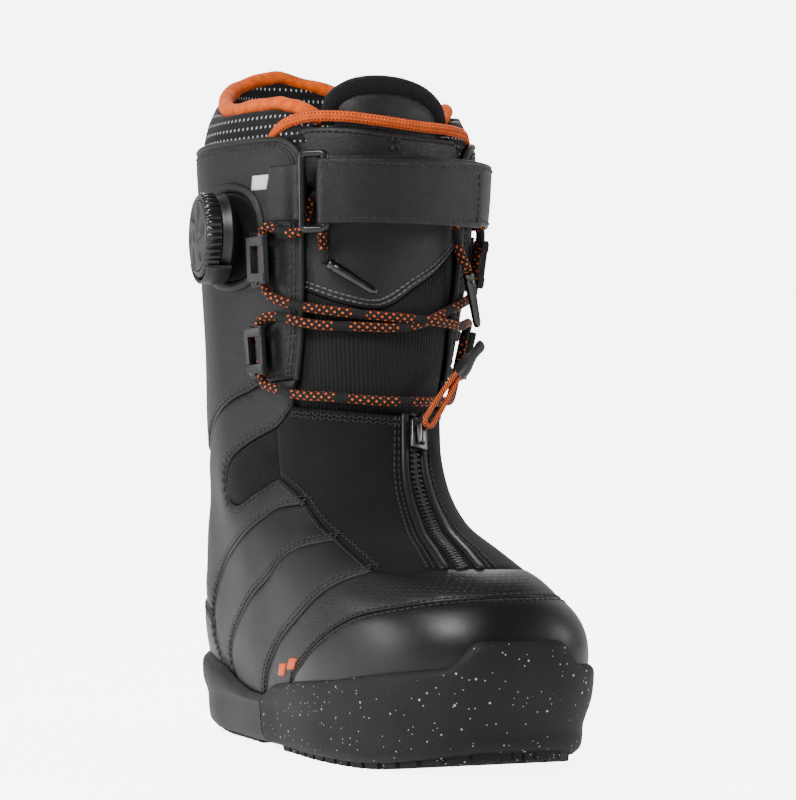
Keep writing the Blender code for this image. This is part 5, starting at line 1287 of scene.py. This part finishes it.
def sole():
    def both(points):
        return np.concatenate([points, -points[::-1][1:]])
    cup("outsole_forefoot_rubber", "outsole_forefoot", both(np.linspace(SPLIT_U, 0, 81)), RUBBER)
    cup("midsole_heel_foam", "midsole_heel", np.linspace(SPLIT_U + 0.003, 2 - SPLIT_U - 0.003, 121), FOAM)
    outer, _ = rand_rows(both(np.linspace(SPLIT_U, 0, 17)))
    lug_blocks("tread_forefoot", lugs_under(outer[-1], 5), RUBBER)

    us = np.linspace(0.64, 1.36, 61)
    outer, _ = rand_rows(us)
    edge = outer[-1]
    centre = edge.mean(0)
    edge = centre + (edge - centre) * (0.93, 0.95, 1)
    edge[:, 2] = ground(edge[:, 1]) + TREAD - 0.1 * MM
    rings = []
    for lift, share in ((-0.1, 0.97), (-0.3, 1.0), (-1.7, 1.0), (-1.95, 0.985)):
        ring = centre + (edge - centre) * (share, share, 1)
        ring[:, 2] = edge[:, 2] + lift * MM
        rings.append(ring)
    verts, faces = bridged(rings)
    piece("outsole_heel_rubber", verts, faces, RUBBER, stands_for=("outsole_heel",), sharp=45)
    low = edge[::3].copy()
    low[:, 2] -= 1.9 * MM
    lug_blocks("tread_heel", lugs_under(low, 5, 0), RUBBER)


# ---- liner ------------------------------------------------------------------------------------------

def liner():
    side = list(np.linspace(0, 1, 61))
    us = np.array(side + [2 - a for a in reversed(side[1:-1])])
    rows = list(np.linspace(0.4, LINER_SPLIT, 26))
    rings = [skin(s, us, LINER_TOP) for s in [0.08] + rows]
    rings[0][:, 2] = 24.4 * MM
    rings += [skin(s, us, float(liner_depth(s))) for s in rows[::-1] + [0.25]]
    rings[-1][:, 2] = LINER_FLOOR_Z
    verts, faces = bridged(rings)
    uv = np.array([(us[k % len(us)] * U_SPAN, rings[k // len(us)][0][2]) for k in range(len(rings) * len(us))]
                  + [(0, 0)] * 2)
    piece("liner_foot_padding", verts, faces, LINING, stands_for=("liner_foot",), uv=uv)

    low = LINER_SPLIT + 0.03
    edge_u = np.linspace(NOTCH_U, 2 - NOTCH_U, 120)
    rim = [(float(liner_top(u)), u) for u in edge_u]
    cuff = loop(straight((low, NOTCH_U), rim[0]), rim, straight(rim[-1], (low, 2 - NOTCH_U)),
                straight((low, 2 - NOTCH_U), (low, NOTCH_U)))

    def outside(s, u):
        return LINER_TOP + 3.2 * MM * ease((s - 9.5) / 0.9) - 5.5 * MM * ease((s - 10.85) / 0.75)

    def lining(s, u):
        quilt = 0.9 * MM * np.abs(np.sin(math.pi * (s - 6.4) / 1.1)) ** 0.6
        return LINER_BACK_HIGH - quilt * ease((s - 6.6) / 1.0) * ease((11.6 - s) / 0.8) \
            - 3.5 * MM * ease((s - 10.6) / 0.9)
    panel("liner_cuff_padding", "liner_cuff", cuff, outside, lining, LINER_MESH, "liner_mesh", 1.2 * MM,
                    reach=8 * MM)

    edge = NOTCH_U - 0.012
    sides = smooth_line([(6.5, edge), (8, edge), (10.6, edge), (11.16, edge - 0.002), (11.34, 0.11), (11.4, 0.04),
                         (11.38, -0.04), (11.28, -0.11), (11.1, edge * -1 + 0.002), (10.6, -edge), (8, -edge),
                         (6.5, -edge)])
    panel("liner_tongue_padding", "liner_tongue", loop(sides, straight((6.5, -edge), (6.5, edge))),
                    LINER_TOP - 0.4 * MM, LINER_BACK_HIGH + 2 * MM, STRAP_FINISH, "leather", 1.6 * MM,
                    reach=14 * MM)
    top = [p for p in sides if p[0] > 11.02]
    s, u = np.array(top).T
    path = fine_path(skin(s + 0.05, u, LINER_TOP - 2.6 * MM), 2.5 * MM)
    tube("liner_tongue_roll", path, 4.6 * MM, BLACK_MESH, 14)

    collar_u = np.linspace(0.185, 1.815, 150)
    middle = (LINER_TOP + LINER_BACK_HIGH) / 2 - 3.6 * MM
    path = skin(liner_top(collar_u), collar_u, middle) + np.array([0, 0, COLLAR_RADIUS + 0.9 * MM])
    path[:, 2] -= 2.1 * MM
    path[:, 2] += 0.35 * MM * np.sin(np.arange(len(path)) * 0.53) * np.sin(np.arange(len(path)) * 0.171)
    radii = COLLAR_RADIUS * 0.95 * (1 + 0.05 * np.sin(np.arange(len(path)) * 0.37)) * np.ones(len(path))
    radii[:4] *= np.array([0.6, 0.8, 0.92, 0.98])
    radii[-4:] *= np.array([0.98, 0.92, 0.8, 0.6])
    tube("liner_collar_plush", path, radii, PLUSH, 16, stands_for=("liner_collar",),
                   up=[(0, 0, 1)] * len(path))
    for node, finish in (("footbed", LINING), ("lasting_board", BOARD), ("ankle_harness_lateral", WINDOW_CLOTH),
                         ("ankle_harness_medial", WINDOW_CLOTH)):
        repaint(node, finish)


def repaint(node, finish):
    for slot in bpy.data.objects[node].material_slots:
        slot.material = finish


# ---- dial -------------------------------------------------------------------------------------------

def dial():
    frame_at = dial_frame()
    s0, u0 = DIAL_PLACE
    segments, row_height = 64, 35 * MM
    reach, rise = HOUSING_FOOT
    foot = [skin(s0 + rise * math.sin(t) / row_height, u0 + HOUSING_FOOT_BACK + reach * math.cos(t) / U_SPAN,
                 0.9 * MM)
            for t in [math.pi - 2 * math.pi * k / segments for k in range(segments)]]
    rings = [foot]
    for radius, height in ((20.2, 3.0), (20.3, 3.4), (19.6, 4.8), (19.2, 5.4), (19.0, 7.2), (18.7, 7.6), (10.7, 7.6),
                           (10.4, 7.3), (10.4, 3.0)):
        rings.append([np.array(frame_at @ Vector((radius * MM * math.cos(2 * math.pi * k / segments),
                                                  radius * MM * math.sin(2 * math.pi * k / segments), height * MM)))
                      for k in range(segments)])
    verts, faces = bridged(rings)
    piece("dial_housing_cup", verts, faces, SATIN_PLASTIC, stands_for=("dial_housing",), sharp=35)

    def knurl(angle, index):
        return -0.75 * (0.5 + 0.5 * math.cos(36 * angle)) ** 2 if 4 <= index <= 8 else 0
    knob = [(0, 10.0), (16.5, 10.0), (17.5, 8.4), (19.6, 8.2), (20.2, 8.4), (20.4, 9.0), (20.4, 11.5), (20.3, 13.4),
            (19.7, 14.6), (18.9, 15.3), (17.6, 15.5), (17.05, 15.1), (17.0, 14.0), (0, 14.0)]
    lathe("dial_knob_rim", knob, frame_at, PLASTIC, 216, "dial_knob", ("dial_knob",), knurl)
    dial_face(frame_at)
    for node, finish in (("dial_bushing", GREY_PLASTIC), ("dial_spool", DARK_METAL)):
        repaint(node, finish)

    reach = 22.2 * MM
    ways = [Vector((math.cos(t), math.sin(t), 0)) for t in np.radians(np.linspace(-146, -44, 41))]
    path = [frame_at @ (way * reach + Vector((0, 0, 8.6 * MM))) for way in ways]
    half_w, half_h, r = 6.0, 0.9, 0.7
    ring = [(-half_w + r, -half_h), (half_w - r, -half_h), (half_w, -half_h + r), (half_w, half_h - r),
            (half_w - r, half_h), (-half_w + r, half_h), (-half_w, half_h - r), (-half_w, -half_h + r)]
    rings = swept(path, [(a * MM, b * MM) for a, b in ring], up=[np.array(frame_at.to_3x3() @ way) for way in ways])
    verts, faces = bridged(rings)
    piece("dial_bumper_lip", verts, faces, SATIN_PLASTIC, stands_for=("dial_bumper",), sharp=60)

    # The raised rim of leather round the dial's opening, standing on the cuff.
    turns = np.linspace(0, 2 * math.pi, 97)[:-1]
    rim_s = s0 + 0.02 + (0.72 + 0.06 * np.cos(2 * turns)) * np.sin(turns)
    rim_u = u0 + 0.012 + 0.116 * np.cos(turns)
    path, out = skin(rim_s, rim_u, 1.1 * MM), normals(rim_s, rim_u)
    across = [(2.6 * math.cos(a), 1.9 * math.sin(a)) for a in np.linspace(0, 2 * math.pi, 15)[:-1]]
    rings = swept(path, [(a * MM, b * MM) for a, b in across], closed=True, up=list(out))
    verts, faces = bridged(rings, closed_loop=True)
    piece("dial_surround_leather", verts, faces, STRAP_FINISH, sharp=60)


def dial_face(frame_at):
    """The grey face: a shallow dome with a ring of wedge-shaped relief and a plain centre boss."""
    segments, rings = 180, []
    profile = [(16.6, 14.4), (16.6, 15.4), (16.2, 15.7), (15.0, 15.8), (13.6, 15.9), (12.2, 16.1), (10.5, 16.2),
               (8.8, 16.3), (7.2, 16.4), (6.2, 16.5), (5.6, 16.9), (4.6, 17.0), (3.0, 17.0), (2.6, 16.6), (1.2, 16.6)]
    verts, faces = [], []
    for index, (radius, height) in enumerate(profile):
        ring = []
        for k in range(segments):
            angle = 2 * math.pi * k / segments
            rise = 0.0
            if 3 <= index <= 8:
                share = ((angle / (2 * math.pi) * 6 + index * 0.06) % 1.0)
                rise = -0.9 if 0.22 < share < 0.62 else 0.0
                if index in (3, 8):
                    rise *= 0.4
            verts.append(frame_at @ Vector((radius * MM * math.cos(angle), radius * MM * math.sin(angle),
                                            (height + rise) * MM)))
            ring.append(len(verts) - 1)
        rings.append(ring)
    for a, b in zip(rings, rings[1:]):
        faces += [(a[k], a[(k + 1) % segments], b[(k + 1) % segments], b[k]) for k in range(segments)]
    faces += [tuple(rings[-1]), tuple(reversed(rings[0]))]
    piece("dial_cap_face", verts, faces, GREY_PLASTIC, "dial_knob", ("dial_cap",), sharp=28)


# ---- hooks ------------------------------------------------------------------------------------------

def boxes_joined(name, boxes, matrix, finish, width, stands_for, body="boot"):
    """Boxes (in mm) joined into one solid and rounded."""
    first = None
    for low, high in boxes:
        corners = [(x, y, z) for x in (low[0], high[0]) for y in (low[1], high[1]) for z in (low[2], high[2])]
        verts = [matrix @ (Vector(c) * MM) for c in corners]
        faces = [(0, 1, 3, 2), (4, 6, 7, 5), (0, 4, 5, 1), (2, 3, 7, 6), (0, 2, 6, 4), (1, 5, 7, 3)]
        if first is None:
            first = piece(name, verts, faces, finish, body, stands_for)
            continue
        other = bpy.data.objects.new("block", outward_mesh("block", verts, faces))
        bpy.context.scene.collection.objects.link(other)
        boolean = first.modifiers.new("join", "BOOLEAN")
        boolean.operation, boolean.solver, boolean.object = "UNION", "EXACT", other
        applied(first)
        bpy.data.objects.remove(other)
    return rounded(first, width)


# A hook's foot, its wall, the two arms and the bar that the lace runs behind: low and high corners in mm.
HOOK_BOXES = (((-7, -13, 0), (3, 13, 1.8)), ((-1, -9.5, 0.5), (1.8, 9.5, 9.0)), ((-1, 6.5, 7.0), (11, 10.5, 9.0)),
              ((-1, -10.5, 7.0), (11, -6.5, 9.0)), ((7.5, -11.5, 6.0), (11.5, 11.5, 8.6)))
RIVET_HEAD = ((0, 0), (2.7, 0), (2.85, 0.25), (2.8, 0.6), (2.5, 1.0), (2.2, 1.2), (1.9, 1.15), (1.75, 0.85),
              (1.2, 0.75), (0, 0.7))


def hooks():
    for name, place in HOOKS.items():
        matrix = local_frame(*place, HOOK_BASE)
        boxes_joined(f"hook_{name}", HOOK_BOXES, matrix, SATIN_PLASTIC, 0.75 * MM,
                     (f"lace_hook_{name}",))
        for end, height in (("top", 9.2), ("bottom", -9.2)):
            spot = matrix @ Matrix.Translation((-3.8 * MM, height * MM, 2.1 * MM))
            lathe(f"rivet_{name}_{end}_head", RIVET_HEAD, spot, DARK_METAL, 32,
                  stands_for=(f"rivet_{name}_{end}",))


# ---- strap ------------------------------------------------------------------------------------------

def skin_ups(us):
    return [local_frame(STRAP_PLACE[0], float(u)).col[1].to_3d() for u in us]


def leather_band(name, plan, ups, height, thickness, finish, body, node):
    """A flat strap with rounded edges along plan; returns its points, upward and outward directions."""
    plan, ups = np.array([tuple(p) for p in plan]), np.array([tuple(u) for u in ups])
    run = run_of(plan)
    fine = smooth_path(plan, 1.5 * MM)
    stops = np.linspace(0, run[-1], len(fine))
    up = np.stack([np.interp(stops, run, ups[:, k]) for k in range(3)], 1)
    up /= np.linalg.norm(up, axis=1)[:, None]
    half_h, half_t = height / 2, thickness / 2
    profile = []
    corner = half_t * 0.95
    for cx, cy, first in ((half_h, half_t, 0), (-half_h, half_t, 90), (-half_h, -half_t, 180),
                          (half_h, -half_t, 270)):
        for k in range(4):
            a = math.radians(first + 30 * k)
            profile.append((cx - math.copysign(corner, cx) + corner * math.cos(a),
                            cy - math.copysign(corner, cy) + corner * math.sin(a)))
    inner = [(h, half_t) for h in np.linspace(half_h - 2.4 * MM, -half_h + 2.4 * MM, 12)]
    profile = profile[:4] + inner + profile[4:12] + [(-h, -half_t) for h, _ in inner] + profile[12:]
    rings, outs = [], []
    for k in range(len(fine)):
        along = fine[min(k + 1, len(fine) - 1)] - fine[max(k - 1, 0)]
        out = np.cross(along, up[k])
        out /= np.linalg.norm(out)
        outs.append(out)
        ring = []
        for h, t in profile:
            crown = 0.35 * MM * (1 - (h / half_h) ** 2) if t > half_t * 0.9 else 0
            ring.append(fine[k] + up[k] * h + out * (t + crown))
        rings.append(ring)
    for end in (0, -1):
        middle = np.mean(rings[end], 0)
        rings[end] = [middle + (p - middle) * 0.985 for p in rings[end]]
    verts, faces = bridged(rings)
    n = len(profile)
    uv = [(stops[k // n], profile[k % n][0]) for k in range(len(rings) * n)] + [(0, 0)] * 2
    piece(name, verts, faces, finish, body, (node,), uv, 60)
    return fine, up, np.array(outs)


def band_stitches(fine, up, outs, rows, skip=2):
    """Rows of stitches along a strap, each row at a height from its middle line."""
    found = []
    step = 3.3 * MM
    run = run_of(fine)
    marks = np.arange(step * skip, run[-1] - step, step)
    for row in rows:
        for mark in marks:
            point = np.array([np.interp(mark, run, fine[:, k]) for k in range(3)])
            k = min(int(np.searchsorted(run, mark)), len(fine) - 2)
            along = fine[k + 1] - fine[k - 1]
            along /= np.linalg.norm(along)
            place = point + up[k] * row + outs[k] * (STRAP / 2 + 0.3 * MM)
            found.append((place, along, outs[k], 1.25 * MM, 0.4 * MM))
    return found


def strap():
    frame_at = ring_frame()
    a, b, corner = RING_HALF[0], RING_HALF[1], 2.2 * MM
    path = []
    for cx, cy, first in ((a, b, 0), (-a, b, 90), (-a, -b, 180), (a, -b, 270)):
        centre = (cx - math.copysign(corner, cx), cy - math.copysign(corner, cy))
        for k in range(9):
            angle = math.radians(first + 90 * k / 8)
            path.append(frame_at @ Vector((centre[0] + corner * math.cos(angle),
                                           centre[1] + corner * math.sin(angle), 0)))
    ring = round_section(RING_BAR, 20)
    rings = swept(path, ring, closed=True, up=[frame_at.col[2].to_3d()] * len(path))
    verts, faces = bridged(rings, closed_loop=True)
    piece("strap_ring_bar", verts, faces, PLASTIC, "strap_ring", ("strap_ring",), sharp=80)

    radius = RING_BAR + 0.5 * MM + STRAP / 2
    plan = [frame_at @ Vector((a + radius * math.cos(t), 0, radius * math.sin(t)))
            for t in np.radians(np.linspace(200, 100, 12))]
    ups = [frame_at.col[1].to_3d()] * len(plan)
    lifts = np.linspace(BAR_LIFT + radius, BAR_LIFT + radius + 0.5 * MM, 24)
    us = np.linspace(STRAP_PLACE[1] - 0.055, -0.175, 24)
    plan += [Vector(p) for p in skin(STRAP_PLACE[0], us, lifts)]
    ups += skin_ups(us)
    fine, up, outs = leather_band("strap_flap_leather", plan, ups, STRAP_HEIGHT, STRAP, STRAP_FINISH, "strap_flap",
                                  "strap_flap")
    rows = [STRAP_HEIGHT / 2 - 2.4 * MM, -STRAP_HEIGHT / 2 + 2.4 * MM]
    flap = band_stitches(fine, up, outs, rows, 4)
    k = len(fine) - 3
    for h in np.arange(-STRAP_HEIGHT / 2 + 4 * MM, STRAP_HEIGHT / 2 - 3 * MM, 3.3 * MM):
        flap.append((fine[k] + up[k] * h + outs[k] * (STRAP / 2 + 0.4 * MM), up[k], outs[k], 1.25 * MM, 0.4 * MM))
    sew("strap_flap_stitches", flap, THREAD, "strap_flap")

    us = np.linspace(STRAP_PLACE[1], -0.46, 44)
    lifts = UNDER_LIFT + 4.0 * MM * ease((0.05 - us) / 0.15)
    lifts = 0.6 * MM + (lifts - 0.6 * MM) * ease((us + 0.45) / 0.12) + STRAP / 2
    plan = [Vector(p) for p in skin(STRAP_PLACE[0] + 0.06, us, lifts)]
    fine, up, outs = leather_band("strap_under_leather", plan, skin_ups(us), STRAP_HEIGHT, STRAP, STRAP_FINISH,
                                  "boot", "strap_under")
    stitches["dark"] += band_stitches(fine, up, outs, rows)

    plan = [frame_at @ Vector((-a + 0.5 * MM, 0, -radius - 0.2 * MM)),
            frame_at @ Vector((-a - radius * 0.75, 0, -radius * 0.9)),
            frame_at @ Vector((-a - radius * 1.5, 0, -radius * 1.1)), Vector(skin(STRAP_PLACE[0], 0.245, 1.4 * MM)),
            Vector(skin(STRAP_PLACE[0], 0.29, 1.4 * MM))]
    ups = [frame_at.col[1].to_3d()] * 3 + skin_ups([0.245, 0.29])
    leather_band("strap_anchor_leather", plan, ups, 26 * MM, 1.4 * MM, STRAP_FINISH, "boot", "strap_anchor_tab")


# ---- zip --------------------------------------------------------------------------------------------

def zip_closure():
    chain = loop(zip_edge(1), back(zip_edge(-1)))
    panel("zip_tape", "zip_chain", chain, -0.5 * MM, -1.8 * MM, SOFTSHELL, "black_plastic", 0)
    points, out, along, s, u = line_on_skin([(s, u) for s, u in ZIP_LINE], 0.0, 1.5 * MM)
    verts, faces = [], []
    for k in range(len(points)):
        sign = 1 if k % 2 else -1
        side = np.cross(out[k], along[k])
        middle = points[k] + side * sign * 0.9 * MM + out[k] * 0.05 * MM
        start = len(verts)
        for level, size in ((-0.5, 1.0), (0.35, 1.0), (0.6, 0.72)):
            for a, b in ((-1, -1), (1, -1), (1, 1), (-1, 1)):
                verts.append(middle + side * a * 1.7 * MM * size + along[k] * b * 0.62 * MM * size
                             + out[k] * level * MM)
        for r in range(2):
            for m in range(4):
                p, q = start + 4 * r + m, start + 4 * r + (m + 1) % 4
                faces.append((p, q, q + 4, p + 4))
        faces += [(start + 3, start + 2, start + 1, start), (start + 8, start + 9, start + 10, start + 11)]
    piece("zip_teeth", verts, faces, SATIN_PLASTIC, sharp=30)

    at = local_frame(SLIDER_S, zip_u(SLIDER_S), 2.1 * MM)
    at = Matrix.Translation(at.translation) @ slider_turn()
    boxes_joined("zip_slider_body", [((-4.6, -7, 0), (4.6, 7, 2.6)), ((-1.6, -5, 2.4), (1.6, 5, 5.4))], at, DARK_METAL,
                 0.7 * MM, ("zip_slider",), "zip_slider")
    start = at @ Vector((0, 3.0 * MM, 7.4 * MM))
    top = Vector(skin(7.62, -0.10, 15.5 * MM))
    way = (top - start).normalized()
    out = Vector(normals(7.3, -0.06))
    side = way.cross(out).normalized()
    reach = way * ((top - start).length + 1.5 * MM)
    path = [start - side * 1.3 * MM + reach, start - side * 2.6 * MM + way * 11 * MM]
    path += [start - side * 2.6 * MM * math.cos(math.pi * k / 12) + way * 2.6 * MM * (1 - math.sin(math.pi * k / 12))
             for k in range(13)]
    path += [start + side * 2.6 * MM + way * 11 * MM, start + side * 1.3 * MM + reach]
    tube("zip_pull_loop", fine_path(path, 1.0 * MM), 1.25 * MM, ORANGE_CORD, 12, "zip_pull",
         ("zip_pull_cord",))
    tip = Vector(skin(8.15, -0.225, 16.5 * MM))
    way = (tip - top).normalized()
    runs = [(0, 1.4), (0.4, 2.4), (1.5, 2.8), (4, 3.6), (7, 4.0), (10, 4.2), (13, 4.0), (16, 3.4), (20, 2.7), (24, 2.4),
            (27, 2.5), (30, 2.8), (32, 2.6), (33, 2.0), (33.4, 1.0)]
    rings = []
    for run, width in runs:
        place = top + way * run * MM
        ring = swept([place - way * MM, place + way * MM],
                     [(x * width * MM, y * width * 0.6 * MM) for x, y in round_section(1.0, 24)], up=[out, out])[0]
        rings.append(np.array(ring) + np.array(way * MM))
    verts, faces = bridged(smooth_rows(np.array(rings), 2))
    piece("zip_pull_grip", verts, faces, SATIN_PLASTIC, "zip_pull", ("zip_pull_handle",), sharp=70)


def tag():
    corners = [(9.95, 0.352), (10.20, 0.346), (10.20, 0.290), (9.95, 0.300)]
    outline = loop(*(straight(a, b) for a, b in zip(corners, corners[1:] + corners[:1])))
    panel("cuff_tag_cloth", "cuff_tag", outline, 1.9 * MM, 0.6 * MM, TAG_CLOTH, "tag", 0)


def side_mark():
    """A small plain patch of two slanted bars low on the vamp's outer side."""
    for number, (s, u) in enumerate(((0.86, 0.497), (1.02, 0.452))):
        corners = [(s - 0.15, u), (s + 0.13, u - 0.02), (s + 0.15, u - 0.05), (s - 0.13, u - 0.03)]
        outline = loop(*(straight(a, b) for a, b in zip(corners, corners[1:] + corners[:1])))
        panel(f"side_mark_{number}", None, outline, 1.05 * MM, 0.1 * MM, ORANGE_PRINT, "orange_plush", 0)


add_camera()
backdrop()
add_lights()
lace_and_aglets()
shell()
gaiter()
tongue()
sole()
liner()
dial()
hooks()
strap()
zip_closure()
tag()
side_mark()
sew("stitching_dark", stitches["dark"], THREAD)
sew("stitching_pale", stitches["pale"], PALE_THREAD)
